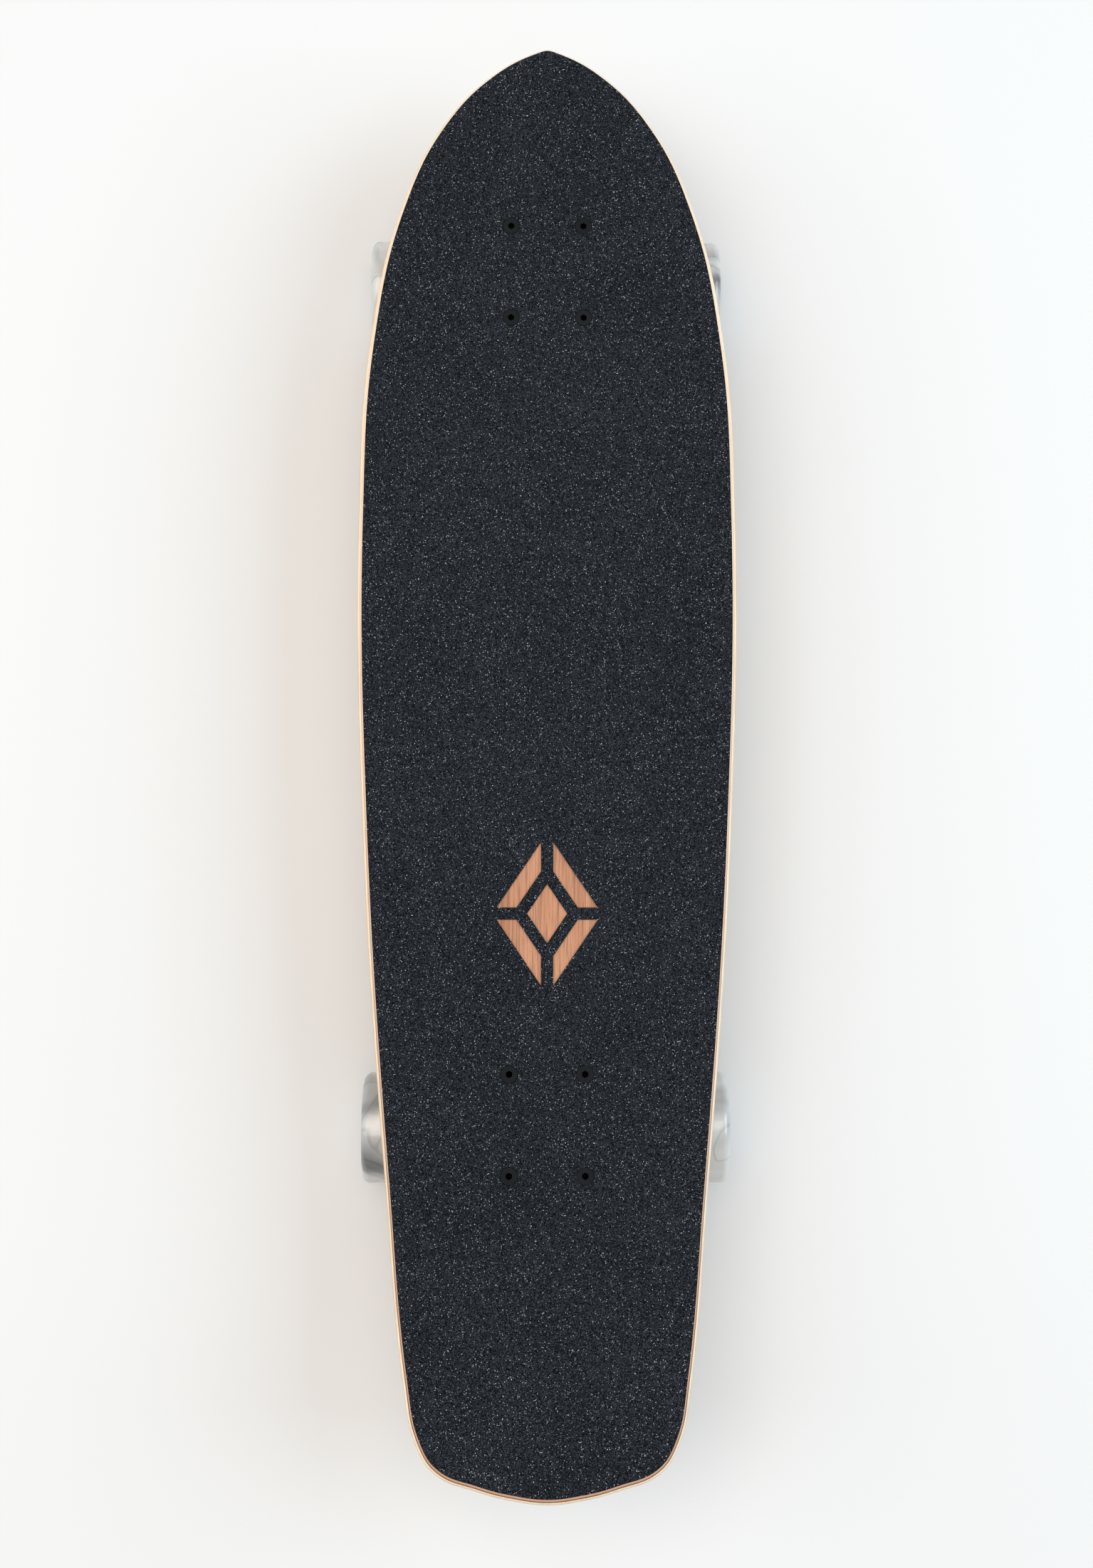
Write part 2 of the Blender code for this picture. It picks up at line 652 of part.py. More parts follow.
def boardside_bushing():
    bore = KINGPIN_RADIUS + SEAT_GAP
    waist = BOARDSIDE_LENGTH / 2
    profile = [(BUSHING_RADIUS, 0), (BUSHING_WAIST, -waist), (BUSHING_RADIUS, -BOARDSIDE_LENGTH),
               (bore, -BOARDSIDE_LENGTH), (bore, 0)]
    return turned("boardside_bushing", profile, 14)


def roadside_bushing():
    bore = KINGPIN_RADIUS + SEAT_GAP
    profile = [(BUSHING_RADIUS, 0), (BUSHING_RADIUS, -BUSHING_SEAT_DEPTH),
               (CONE_TIP_RADIUS, -ROADSIDE_LENGTH), (bore, -ROADSIDE_LENGTH), (bore, 0)]
    return turned("roadside_bushing", profile, 14)


def lock_nut(name, radius, height, bore, collar):
    """A hexagon nut with a round collar that holds the nylon ring, top face at Z = 0."""
    hexagon = cone(name, radius, radius, -height * 0.75, 0, 6)
    round_collar = cone("collar", collar, collar, -height, -height * 0.5, 8)
    hole_radius = round_a_circle(bore, 10)
    hole = cone("hole", hole_radius, hole_radius, -height - 0.01, 0.01, 10)
    return combine(name, hexagon, [round_collar], [hole])


def pivot_cup():
    """The urethane cup pressed in the housing: floor, wall and a flange at its mouth."""
    inner = STEM_RADIUS + SEAT_GAP
    floor = STEM_RADIUS + SEAT_GAP
    mouth = -CUP_MOUTH - SEAT_GAP
    profile = [(0, floor + CUP_FLOOR), (CUP_RADIUS, floor + CUP_FLOOR), (CUP_RADIUS, mouth),
               (CUP_FLANGE_RADIUS, mouth), (CUP_FLANGE_RADIUS, mouth - CUP_FLANGE),
               (inner, mouth - CUP_FLANGE), (inner, floor), (0, floor)]
    return on_pivot(turned("pivot_cup", profile, 14, closed=False))


# Truck: pieces that steer

def arm_mesh():
    """The round arms that carry the axle, thickest in the middle, turned about X."""
    half = HANGER_WIDTH / 2
    right = [(ARM_END_RADIUS, half), (ARM_MID_RADIUS, half * 0.9),
             (ARM_MID_RADIUS, half * 0.62), (ARM_ROOT_RADIUS, half * 0.3)]
    left = [(radius, -x) for radius, x in reversed(right)]
    profile = [(0, half)] + right + left + [(0, -half)]
    arms = turned("hanger_arms", profile, 14, closed=False)
    arms.transform(Matrix.Rotation(math.pi / 2, 4, 'Y'))
    return moved(arms, AXLE_CENTRE)


def web_mesh():
    """The tapering web from the ring to the axle arms, cast at the slope between them."""
    run = AXLE_CENTRE - RING_CENTRE
    slope = math.atan2(run.z, run.y)
    bm = bmesh.new()
    bmesh.ops.create_cube(bm, size=1)
    bmesh.ops.scale(bm, verts=bm.verts, vec=(2, run.length, WEB_THICKNESS))
    for vertex in bm.verts:
        vertex.co.x *= WEB_AXLE_HALF if vertex.co.y > 0 else WEB_RING_HALF
    upright = [e for e in bm.edges if abs(e.verts[0].co.y - e.verts[1].co.y) > run.length / 2]
    bmesh.ops.bevel(bm, geom=upright, offset=WEB_THICKNESS * 0.3, segments=2, profile=0.5,
                    affect='EDGES')
    mesh = mesh_from(bm, "hanger_web")
    return moved(mesh, (RING_CENTRE + AXLE_CENTRE) / 2, tilt=slope)


def post_mesh():
    """The horn that rises from the arms to the foot of the pivot stem."""
    foot = PIVOT_CENTRE - STEERING_AXIS * (STEM_LENGTH + 0.001)
    run = foot - AXLE_CENTRE
    post = cone("hanger_post", POST_ROOT_RADIUS, POST_TOP_RADIUS, 0, run.length, 12)
    return moved(post, AXLE_CENTRE, tilt=math.atan2(run.z, run.y) - math.pi / 2)


def stem_mesh():
    """The pivot stem: a round tip about the pivot centre and a cone down to the horn."""
    arc = [(STEM_RADIUS * math.sin(math.radians(a)), STEM_RADIUS * math.cos(math.radians(a)))
           for a in (0, 30, 60, 90)]
    profile = arc + [(STEM_RADIUS, -STEM_LENGTH * 0.72), (POST_TOP_RADIUS, -STEM_LENGTH),
                     (POST_TOP_RADIUS * 0.7, -STEM_LENGTH - POST_TOP_RADIUS * 0.8),
                     (0, -STEM_LENGTH - POST_TOP_RADIUS * 0.9)]
    return on_pivot(turned("pivot_stem", profile, 12, closed=False))


def hanger():
    half = RING_THICKNESS / 2
    ring = on_kingpin(cone("hanger_ring", RING_RADIUS, RING_RADIUS, -half, half, 20), RING_DEPTH)
    bore = on_kingpin(cone("ring_bore", RING_BORE, RING_BORE, -0.02, 0.02, 16), RING_DEPTH)
    seat = BUSHING_RADIUS + SEAT_GAP
    seat_floor = half - BUSHING_SEAT_DEPTH
    upper = on_kingpin(cone("upper_seat", seat, seat, seat_floor, 0.012, 16), RING_DEPTH)
    lower = on_kingpin(cone("lower_seat", seat, seat, -0.012, -seat_floor, 16), RING_DEPTH)
    axle_hole = cone("axle_hole", AXLE_RADIUS + PRESS_GAP, AXLE_RADIUS + PRESS_GAP, -0.1, 0.1, 12)
    axle_hole.transform(Matrix.Rotation(math.pi / 2, 4, 'Y'))
    moved(axle_hole, AXLE_CENTRE)
    return combine("hanger", arm_mesh(), [web_mesh(), post_mesh(), stem_mesh(), ring],
                   [bore, upper, lower, axle_hole])


def axle():
    chamfer = 0.0008
    right = [(AXLE_RADIUS - chamfer, AXLE_HALF), (AXLE_RADIUS, AXLE_HALF - chamfer)]
    left = [(radius, -x) for radius, x in reversed(right)]
    profile = [(0, AXLE_HALF)] + right + left + [(0, -AXLE_HALF)]
    return turned("axle", profile, 12, closed=False)


def inner_sleeve():
    """Both inner races, the spacer between them and the speed washers, clamped as one."""
    bore = round_a_circle(AXLE_RADIUS + PRESS_GAP, 10)
    return turned("inner_sleeve", ring_profile(RACE_RADIUS, bore, SLEEVE_HALF, -SLEEVE_HALF), 10)


def outer_ring():
    """A bearing's outer ring with its shields, inner face at Z = 0."""
    profile = ring_profile(BEARING_RADIUS, SHIELD_BORE, BEARING_WIDTH, 0)
    return turned("bearing_outer", profile, 12)


def wheel():
    """The urethane wheel: rounded lips, dished faces and a seat for each bearing."""
    side = WHEEL_WIDTH / 2
    hub_face = BEARING_OUTER + 0.0012
    seat = BEARING_RADIUS + PRESS_GAP
    floor = BEARING_INNER - PRESS_GAP
    half = [(LIP_RADIUS, side), (WHEEL_RADIUS - 0.0014, side - 0.0016), (WHEEL_RADIUS, TREAD_HALF)]
    bore = [(HUB_RADIUS - 0.004, floor), (seat, floor), (seat, hub_face), (HUB_RADIUS, hub_face),
            (DISH_RADIUS, side)]
    outer = half + [(radius, -x) for radius, x in reversed(half)]
    inner = [(radius, -x) for radius, x in reversed(bore)] + bore
    return turned("wheel", outer + inner, 24)


def build_truck(end, board, centre, heading):
    mount = add_empty(f"{end}_truck", board, (0, centre, DECK_UNDERSIDE), (0, 0, heading))
    pad = make_material(f"{end}_riser", (0.02, 0.02, 0.02), 0.7)
    add_part(f"{end}_riser_pad", riser_pad(), pad, mount)
    plate = add_empty(f"{end}_plate_top", mount, (0, 0, PLATE_TOP))
    cast = make_material(f"{end}_cast_aluminium", (0.62, 0.63, 0.65), 0.42, 1.0)
    steel = make_material(f"{end}_steel", (0.45, 0.45, 0.47), 0.3, 1.0)
    soft = make_material(f"{end}_bushing", (0.75, 0.73, 0.68), 0.5)
    cup = make_material(f"{end}_pivot_cup", (0.03, 0.03, 0.03), 0.6)
    add_part(f"{end}_baseplate", baseplate(), cast, plate)
    add_part(f"{end}_kingpin", kingpin(), steel, plate)
    add_part(f"{end}_upper_washer", on_kingpin(cup_washer(), UPPER_WASHER_AT), steel, plate)
    add_part(f"{end}_boardside_bushing", on_kingpin(boardside_bushing(), BOARDSIDE_AT), soft,
             plate)
    add_part(f"{end}_roadside_bushing", on_kingpin(roadside_bushing(), ROADSIDE_AT), soft, plate)
    add_part(f"{end}_lower_washer", on_kingpin(cup_washer(), LOWER_WASHER_AT), steel, plate)
    nut = lock_nut("kingpin_nut", KINGPIN_NUT_RADIUS, KINGPIN_NUT_HEIGHT,
                   KINGPIN_RADIUS + SEAT_GAP, KINGPIN_NUT_RADIUS * 0.8)
    add_part(f"{end}_kingpin_nut", on_kingpin(nut, KINGPIN_NUT_AT), steel, plate)
    add_part(f"{end}_pivot_cup", pivot_cup(), cup, plate)
    build_hanger(end, plate, cast, steel)


def build_hanger(end, plate, cast, steel):
    """The steering pieces hang from an empty at the ring's centre, on the steering axis."""
    steering = add_empty(f"{end}_steering", plate, RING_CENTRE)
    carried = hanger()
    carried.transform(Matrix.Translation(-RING_CENTRE))
    add_part(f"{end}_hanger", carried, cast, steering)
    axle_at = AXLE_CENTRE - RING_CENTRE
    add_part(f"{end}_axle", axle(), steel, steering, axle_at, (0, math.pi / 2, 0))
    for side, sign in (("left", -1), ("right", 1)):
        name = f"{end}_{side}"
        if end == "rear":
            sign = -sign
        turn = (0, sign * math.pi / 2, 0)
        hub = axle_at + Vector((sign * WHEEL_AT, 0, 0))
        add_part(f"{name}_inner_sleeve", inner_sleeve(), steel, steering, hub, turn)
        nut_at = hub + Vector((sign * (SLEEVE_HALF + SEAT_GAP + AXLE_NUT_HEIGHT), 0, 0))
        nut = lock_nut("axle_nut", AXLE_NUT_RADIUS, AXLE_NUT_HEIGHT, AXLE_RADIUS + PRESS_GAP,
                       AXLE_NUT_RADIUS * 0.8)
        flipped = moved(nut, (0, 0, -AXLE_NUT_HEIGHT), tilt=math.pi)
        add_part(f"{name}_axle_nut", flipped, steel, steering, nut_at, turn)
        spin = add_empty(f"{name}_hub", steering, hub, turn)
        urethane = make_material(f"{name}_urethane", (0.78, 0.79, 0.77), 0.25)
        add_part(f"{name}_wheel", wheel(), urethane, spin)
        for place, start, flip in (("outer", BEARING_INNER, 0), ("inner", -BEARING_INNER, math.pi)):
            add_part(f"{name}_bearing_{place}", outer_ring(), steel, spin, (0, 0, start),
                     (flip, 0, 0))


VENEER_COLOURS = [
    (0.58, 0.31, 0.18),
    (0.80, 0.62, 0.42),
    (0.48, 0.25, 0.15),
    (0.84, 0.67, 0.47),
    (0.82, 0.64, 0.44),
    (0.84, 0.67, 0.47),
    (0.78, 0.60, 0.40),
]

clear_scene()
parts = make_collection(PARTS_NAME)
cutters = make_collection(CUTTERS_NAME)

board_root = add_empty("board")
build_deck(board_root)
centre_on_origin(board_root)
build_bolts(board_root)
for truck_end, truck_centre, truck_heading in truck_places():
    build_truck(truck_end, board_root, truck_centre, truck_heading)
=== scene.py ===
import json
import math

import bpy
from mathutils import Euler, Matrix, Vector

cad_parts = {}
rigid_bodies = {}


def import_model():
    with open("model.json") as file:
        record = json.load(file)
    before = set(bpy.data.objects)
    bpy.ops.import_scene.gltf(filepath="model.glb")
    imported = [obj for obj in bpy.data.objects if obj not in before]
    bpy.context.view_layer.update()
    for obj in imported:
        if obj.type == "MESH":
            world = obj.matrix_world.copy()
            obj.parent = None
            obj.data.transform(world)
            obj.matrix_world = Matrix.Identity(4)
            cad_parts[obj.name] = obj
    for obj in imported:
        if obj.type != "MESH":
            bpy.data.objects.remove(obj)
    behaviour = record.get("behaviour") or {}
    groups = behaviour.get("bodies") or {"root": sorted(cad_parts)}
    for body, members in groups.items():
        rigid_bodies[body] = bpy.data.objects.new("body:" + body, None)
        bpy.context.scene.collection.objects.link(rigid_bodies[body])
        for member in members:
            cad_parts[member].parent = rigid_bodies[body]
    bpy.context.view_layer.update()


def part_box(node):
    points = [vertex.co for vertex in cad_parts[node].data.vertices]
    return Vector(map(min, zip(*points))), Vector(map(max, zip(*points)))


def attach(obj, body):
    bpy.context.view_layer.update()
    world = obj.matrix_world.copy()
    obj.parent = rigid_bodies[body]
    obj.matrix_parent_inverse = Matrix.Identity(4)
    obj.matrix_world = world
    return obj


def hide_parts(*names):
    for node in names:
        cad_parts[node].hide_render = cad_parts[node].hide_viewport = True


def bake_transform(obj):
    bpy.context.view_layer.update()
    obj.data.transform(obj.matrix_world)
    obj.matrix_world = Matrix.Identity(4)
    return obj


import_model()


# hands: selecting, applying, cutting

mergeGap = 0.000002  # points closer than this become one
smoothAngle = math.radians(32)  # only sharper edges are rounded, or stay sharp


def clearSelection():
    if bpy.context.object and bpy.context.object.mode != "OBJECT":
        bpy.ops.object.mode_set(mode="OBJECT")
    for thing in bpy.context.view_layer.objects:
        thing.select_set(False)


def pick(thing):
    clearSelection()
    thing.select_set(True)
    bpy.context.view_layer.objects.active = thing


def editAll(thing):
    pick(thing)
    bpy.ops.object.mode_set(mode="EDIT")
    bpy.ops.mesh.select_mode(type="VERT")
    bpy.ops.mesh.select_all(action="SELECT")


def leaveEdit():
    bpy.ops.object.mode_set(mode="OBJECT")


def settle(thing):
    # place, turn and scale go into the mesh
    pick(thing)
    bpy.ops.object.transform_apply(location=True, rotation=True, scale=True)
    return thing


def setDown(thing, turn, place):
    thing.rotation_euler = turn
    thing.location = place
    return settle(thing)


def applyModifiers(thing):
    pick(thing)
    for modifier in list(thing.modifiers):
        bpy.ops.object.modifier_apply(modifier=modifier.name)
    return thing


def roundEdges(thing, width, segments):
    bevel = thing.modifiers.new("rounding", "BEVEL")
    bevel.width = width
    bevel.segments = segments
    bevel.limit_method = "ANGLE"
    bevel.angle_limit = smoothAngle
    return applyModifiers(thing)


def joinShapes(thing, operation, *tools):
    for tool in tools:
        shape = thing.modifiers.new("shape", "BOOLEAN")
        shape.operation = operation
        shape.solver = "EXACT"
        shape.object = tool
        applyModifiers(thing)
        bpy.data.objects.remove(tool)
    return thing


def cutAway(thing, *tools):
    return joinShapes(thing, "DIFFERENCE", *tools)


def cleanShell(thing, nearest=mergeGap):
    editAll(thing)
    bpy.ops.mesh.remove_doubles(threshold=nearest)
    bpy.ops.mesh.normals_make_consistent(inside=False)
    leaveEdit()
    return thing


def addCylinder(name, radius, low, high, sides=48, tip=None):
    clearSelection()
    bpy.ops.mesh.primitive_cone_add(vertices=sides, radius1=radius,
                                    radius2=radius if tip is None else tip,
                                    depth=high - low, location=(0, 0, (low + high) / 2))
    bpy.context.object.name = name
    return settle(bpy.context.object)


def addBlock(name, size, place=(0, 0, 0), corner=0.0):
    clearSelection()
    bpy.ops.mesh.primitive_cube_add(size=1, location=place, scale=size)
    block = settle(bpy.context.object)
    block.name = name
    if corner:
        selectEdges(block, lambda a, b: abs(a.z - b.z) > size[2] / 2)
        bpy.ops.mesh.bevel(offset=corner, segments=10, affect="EDGES")
        leaveEdit()
    return block


def selectEdges(thing, wanted):
    # picks edges by their two ends, and stays in edit mode
    editAll(thing)
    bpy.ops.mesh.select_all(action="DESELECT")
    bpy.ops.mesh.select_mode(type="EDGE")
    leaveEdit()
    points = thing.data.vertices
    for edge in thing.data.edges:
        edge.select = wanted(points[edge.vertices[0]].co, points[edge.vertices[1]].co)
    bpy.ops.object.mode_set(mode="EDIT")


def turnProfile(name, profile, steps):
    # a point is drawn along the profile of (radius, height), then spun round Z
    # a profile that doesn't start on the axis goes back to its start
    closed = profile[0][0] > mergeGap
    clearSelection()
    bpy.ops.mesh.primitive_plane_add(size=0.001)
    thing = bpy.context.object
    thing.name = name
    editAll(thing)
    bpy.ops.mesh.merge(type="CENTER")
    bpy.ops.transform.translate(value=(profile[0][0], 0, profile[0][1]))
    path = list(profile) + [profile[0]] * closed
    for (r0, z0), (r1, z1) in zip(path, path[1:]):
        bpy.ops.mesh.extrude_region_move(TRANSFORM_OT_translate={"value": (r1 - r0, 0, z1 - z0)})
    bpy.ops.mesh.select_all(action="SELECT")
    bpy.ops.mesh.remove_doubles(threshold=mergeGap)
    bpy.ops.mesh.spin(steps=steps, angle=math.tau, center=(0, 0, 0), axis=(0, 0, 1))
    return cleanShell(thing)


def arcPoints(centre, radius, start, end, count):
    angles = [math.radians(start + (end - start) * i / count) for i in range(count + 1)]
    return [(centre[0] + radius * math.cos(a), centre[1] + radius * math.sin(a)) for a in angles]


def mirrored(profile):
    # the same profile on the other side of Z = 0, its last point first
    return [(r, -z) for r, z in reversed(profile)]


def joinAll(name, things):
    pick(things[0])
    for thing in things:
        thing.select_set(True)
    bpy.ops.object.join()
    bpy.context.object.name = name
    return bpy.context.object


def copyOf(thing, name):
    pick(thing)
    bpy.ops.object.duplicate(linked=False)
    bpy.context.object.name = name
    return bpy.context.object


def finishPiece(piece, finish, body, slotName, *nodes):
    cleanShell(settle(piece))  # the cuts leave slivers thinner than a hair
    bpy.ops.object.shade_smooth_by_angle(angle=smoothAngle)
    piece.data.materials.clear()
    piece.data.materials.append(finish)
    if body:
        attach(piece, body)
    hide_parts(*nodes)


# camera

camera = {
    "place": (-0.0184, -0.09713, 1.1958),
    "turn": (7.26, -0.90, 0.14),
    "lens": 45.62,
    "shift": (0.0011, -0.0780),
    "nearest": 0.05,
}


def addCamera():
    clearSelection()
    bpy.ops.object.camera_add(location=camera["place"])
    eye = bpy.context.object
    eye.name = "photoCamera"
    eye.rotation_mode = "YXZ"
    eye.rotation_euler = [math.radians(a) for a in camera["turn"]]
    eye.data.lens = camera["lens"]
    eye.data.shift_x, eye.data.shift_y = camera["shift"]
    eye.data.clip_start = camera["nearest"]
    bpy.context.scene.camera = eye


addCamera()
print("camera placed")


# floor and light

studio = {
    "floorColour": (0.76, 0.755, 0.748),
    "floorSize": 9,
    "floorRoughness": 0.9,
    "floorShine": 0.1,
    "skyColour": (1.0, 0.985, 0.975),
    "skyStrength": 0.41,
    "softboxes": [
        # place, aimed at, width, height, power, colour
        ((-0.4, 0.25, 3.0), (0, 0, 0), 2.0, 2.2, 49, (1.0, 0.89, 0.80)),
        ((2.0, 0.2, 2.0), (0, 0, 0.05), 1.7, 2.1, 44, (0.67, 0.86, 0.99)),
        ((-2.0, 0.1, 2.0), (0, 0, 0.05), 1.7, 2.7, 27, (0.85, 0.95, 1.0)),
    ],
}


def addFloor():
    clearSelection()
    bpy.ops.mesh.primitive_plane_add(size=studio["floorSize"])
    floor = bpy.context.object
    floor.name = "studioFloor"
    paper = bpy.data.materials.new("studioPaper")
    paper.use_nodes = True
    shader = paper.node_tree.nodes["Principled BSDF"]
    shader.inputs["Base Color"].default_value = (*studio["floorColour"], 1)
    shader.inputs["Roughness"].default_value = studio["floorRoughness"]
    shader.inputs["Specular IOR Level"].default_value = studio["floorShine"]
    floor.data.materials.append(paper)


def addLights():
    world = bpy.data.worlds.new("studioSky")
    world.use_nodes = True
    sky = world.node_tree.nodes["Background"]
    sky.inputs["Color"].default_value = (*studio["skyColour"], 1)
    sky.inputs["Strength"].default_value = studio["skyStrength"]
    bpy.context.scene.world = world
    for place, target, width, height, power, colour in studio["softboxes"]:
        clearSelection()
        bpy.ops.object.light_add(type="AREA", location=place)
        box = bpy.context.object
        box.data.shape = "RECTANGLE"
        box.data.size = width
        box.data.size_y = height
        box.data.energy = power
        box.data.color = colour
        aim = Vector(target) - Vector(place)
        box.rotation_euler = aim.to_track_quat("-Z", "Y").to_euler()
    # the photo's white is nearly full white, so the film curve stays off
    bpy.context.scene.view_settings.view_transform = "Standard"


addFloor()
addLights()
print("floor and softboxes placed")


# finishes

def newFinish(name, **sockets):
    finish = bpy.data.materials.new(name)
    finish.use_nodes = True
    shader = finish.node_tree.nodes["Principled BSDF"]
    for socket, value in sockets.items():
        shader.inputs[socket.replace("_", " ")].default_value = value
    return finish, finish.node_tree, shader


def addNode(tree, kind, **settings):
    node = tree.nodes.new("ShaderNode" + kind)
    for key, value in settings.items():
        if key in node.inputs:
            node.inputs[key].default_value = value
        else:
            setattr(node, key, value)
    return node


def objectSpace(tree, scale=(1, 1, 1), shift=(0, 0, 0)):
    place = addNode(tree, "TexCoord")
    mapping = addNode(tree, "Mapping", Scale=scale, Location=shift)
    tree.links.new(place.outputs["Object"], mapping.inputs["Vector"])
    return mapping.outputs["Vector"]


def addNoise(tree, vector, scale, detail, roughness, distortion=0.0):
    noise = addNode(tree, "TexNoise", Scale=scale, Detail=detail, Roughness=roughness,
                    Distortion=distortion)
    tree.links.new(vector, noise.inputs["Vector"])
    return noise.outputs["Fac"]


def addRamp(tree, factor, *stops):
    ramp = addNode(tree, "ValToRGB")
    while len(ramp.color_ramp.elements) < len(stops):
        ramp.color_ramp.elements.new(0.5)
    for element, (place, colour) in zip(ramp.color_ramp.elements, stops):
        element.position = place
        value = colour if isinstance(colour, tuple) else (colour,) * 3
        element.color = (*value, 1)
    tree.links.new(factor, ramp.inputs["Fac"])
    return ramp.outputs["Color"]


def mixColours(tree, factor, first, second, blend="MIX"):
    mix = addNode(tree, "Mix", data_type="RGBA", blend_type=blend)
    for socket, value in ((0, factor), (6, first), (7, second)):
        if hasattr(value, "links"):
            tree.links.new(value, mix.inputs[socket])
        elif socket == 0:
            mix.inputs[socket].default_value = value
        else:
            mix.inputs[socket].default_value = (*value, 1)
    return mix.outputs[2]


def wireShader(tree, shader, colour, roughness, height, strength, depth):
    tree.links.new(colour, shader.inputs["Base Color"])
    tree.links.new(roughness, shader.inputs["Roughness"])
    bump = addNode(tree, "Bump", Strength=strength, Distance=depth)
    tree.links.new(height, bump.inputs["Height"])
    tree.links.new(bump.outputs["Normal"], shader.inputs["Normal"])


# in all the finishes a noise is scale, detail, roughness and distortion, a ramp is pairs of
# place and value, and a bump is strength and depth

gritFinish = {
    "dark": (0.0010, 0.0016, 0.0029),
    "grey": (0.056, 0.065, 0.081),
    "spark": (0.53, 0.57, 0.62),
    "greyFrom": (0.50, 1.0),
    "sparkFrom": (0.979, 1.0),
    "grainPerMetre": 3000,
    "cloud": (22, 5, 0.65, 0.5),
    "cloudShade": ((0.3, 0.72), (0.7, 1.0)),
    "roughness": ((0.1, 0.5), (0.9, 0.95)),
    "bump": (0.5, 0.0003),
    "gloss": 0.09,
}


def makeGrit():
    # each grain is one cell: most are dark, some grey, a few catch the light
    finish, tree, shader = newFinish("navyGrit", Specular_IOR_Level=gritFinish["gloss"])
    space = objectSpace(tree)
    grains = addNode(tree, "TexVoronoi", Scale=gritFinish["grainPerMetre"])
    tree.links.new(space, grains.inputs["Vector"])
    chance = addNode(tree, "SeparateColor")
    tree.links.new(grains.outputs["Color"], chance.inputs["Color"])
    low, high = gritFinish["greyFrom"]
    body = addRamp(tree, chance.outputs[0], (low, gritFinish["dark"]), (high, gritFinish["grey"]))
    cloud = addNoise(tree, space, *gritFinish["cloud"])
    worn = mixColours(tree, 1.0, body, addRamp(tree, cloud, *gritFinish["cloudShade"]), "MULTIPLY")
    low, high = gritFinish["sparkFrom"]
    sparks = addRamp(tree, chance.outputs[1], (low, 0.0), (high, 1.0))
    coloured = mixColours(tree, sparks, worn, gritFinish["spark"])
    shine = addRamp(tree, chance.outputs[2], *gritFinish["roughness"])
    wireShader(tree, shader, coloured, shine, grains.outputs["Distance"], *gritFinish["bump"])
    return finish


veneers = {
    # light and dark of the grain
    "veneer_rose": ((0.56, 0.265, 0.145), (0.38, 0.155, 0.08)),
    "veneer_brown": ((0.24, 0.10, 0.055), (0.15, 0.06, 0.032)),
    "veneer_cream": ((0.97, 0.81, 0.60), (0.92, 0.72, 0.49)),
    "veneer_amber": ((0.80, 0.53, 0.31), (0.66, 0.41, 0.22)),
    "veneer_natural": ((0.80, 0.60, 0.39), (0.64, 0.43, 0.25)),
}

woodGrain = {
    "figure": (55, 6, 0.6, 1.2),
    "figureStretch": (1, 0.045, 1),
    "figureStops": (0.32, 0.62),
    "pores": (1300, 4, 0.65),
    "poreStretch": (1, 0.03, 1),
    "streaks": ((0.36, 0.50), (0.54, 1.0)),
    "roseStreaks": 0.85,
    "paleStreaks": 0.4,
    "roughness": ((0.3, 0.55), (0.7, 0.36)),
    "bump": (0.25, 0.0002),
    "gloss": 0.25,
}

# the rounded edge of the top veneers is paler towards the nose
sandedEdge = {"tail": (0.55, 0.32, 0.21), "nose": (0.93, 0.72, 0.54), "from": -0.40, "to": 0.25}


def makeVeneer(name):
    light, dark = veneers[name]
    finish, tree, shader = newFinish(name + "Maple", Specular_IOR_Level=woodGrain["gloss"])
    figure = addNoise(tree, objectSpace(tree, woodGrain["figureStretch"]), *woodGrain["figure"])
    pores = addNoise(tree, objectSpace(tree, woodGrain["poreStretch"]), *woodGrain["pores"])
    darkStop, lightStop = woodGrain["figureStops"]
    board = addRamp(tree, figure, (darkStop, dark), (lightStop, light))
    streaks = addRamp(tree, pores, *woodGrain["streaks"])
    strength = woodGrain["roseStreaks" if name == "veneer_rose" else "paleStreaks"]
    grained = mixColours(tree, strength, board, streaks, "MULTIPLY")
    place = addNode(tree, "SeparateXYZ")
    tree.links.new(objectSpace(tree), place.inputs["Vector"])
    paler = addNode(tree, "MapRange", **{"From Min": sandedEdge["from"], "From Max": sandedEdge["to"]})
    tree.links.new(place.outputs["Y"], paler.inputs["Value"])
    tailEdge = sandedEdge["tail"] if name == "veneer_rose" else grained
    rim = mixColours(tree, paler.outputs["Result"], tailEdge, sandedEdge["nose"])
    # "sanded" is 1 where the rounding cuts into the two top veneers
    sanded = addNode(tree, "Attribute", attribute_name="sanded")
    coloured = mixColours(tree, sanded.outputs["Fac"], grained, rim)
    worn = addRamp(tree, figure, *woodGrain["roughness"])
    wireShader(tree, shader, coloured, worn, pores, *woodGrain["bump"])
    return finish


metals = {
    # colour, second colour, roughness low and high, grain per metre, strength of the bump
    "castMetal": ((0.62, 0.63, 0.65), (0.47, 0.48, 0.50), 0.34, 0.55, 1680, 0.35),
    "zincSteel": ((0.62, 0.62, 0.63), (0.50, 0.50, 0.52), 0.22, 0.40, 1040, 0.10),
    "bearingSteel": ((0.56, 0.57, 0.59), (0.42, 0.43, 0.45), 0.16, 0.32, 1200, 0.06),
    "blackSteel": ((0.007, 0.0078, 0.009), (0.011, 0.012, 0.0135), 0.42, 0.58, 2000, 0.15),
}

# the last colour is painted shade, put inside the sockets of the bolts' heads
metalSkin = {"stains": (60, 6, 0.6, 0.4), "grain": (3, 0.6), "bumpDepth": 0.00025,
             "paintedSocketShade": (0.001, 0.001, 0.001)}


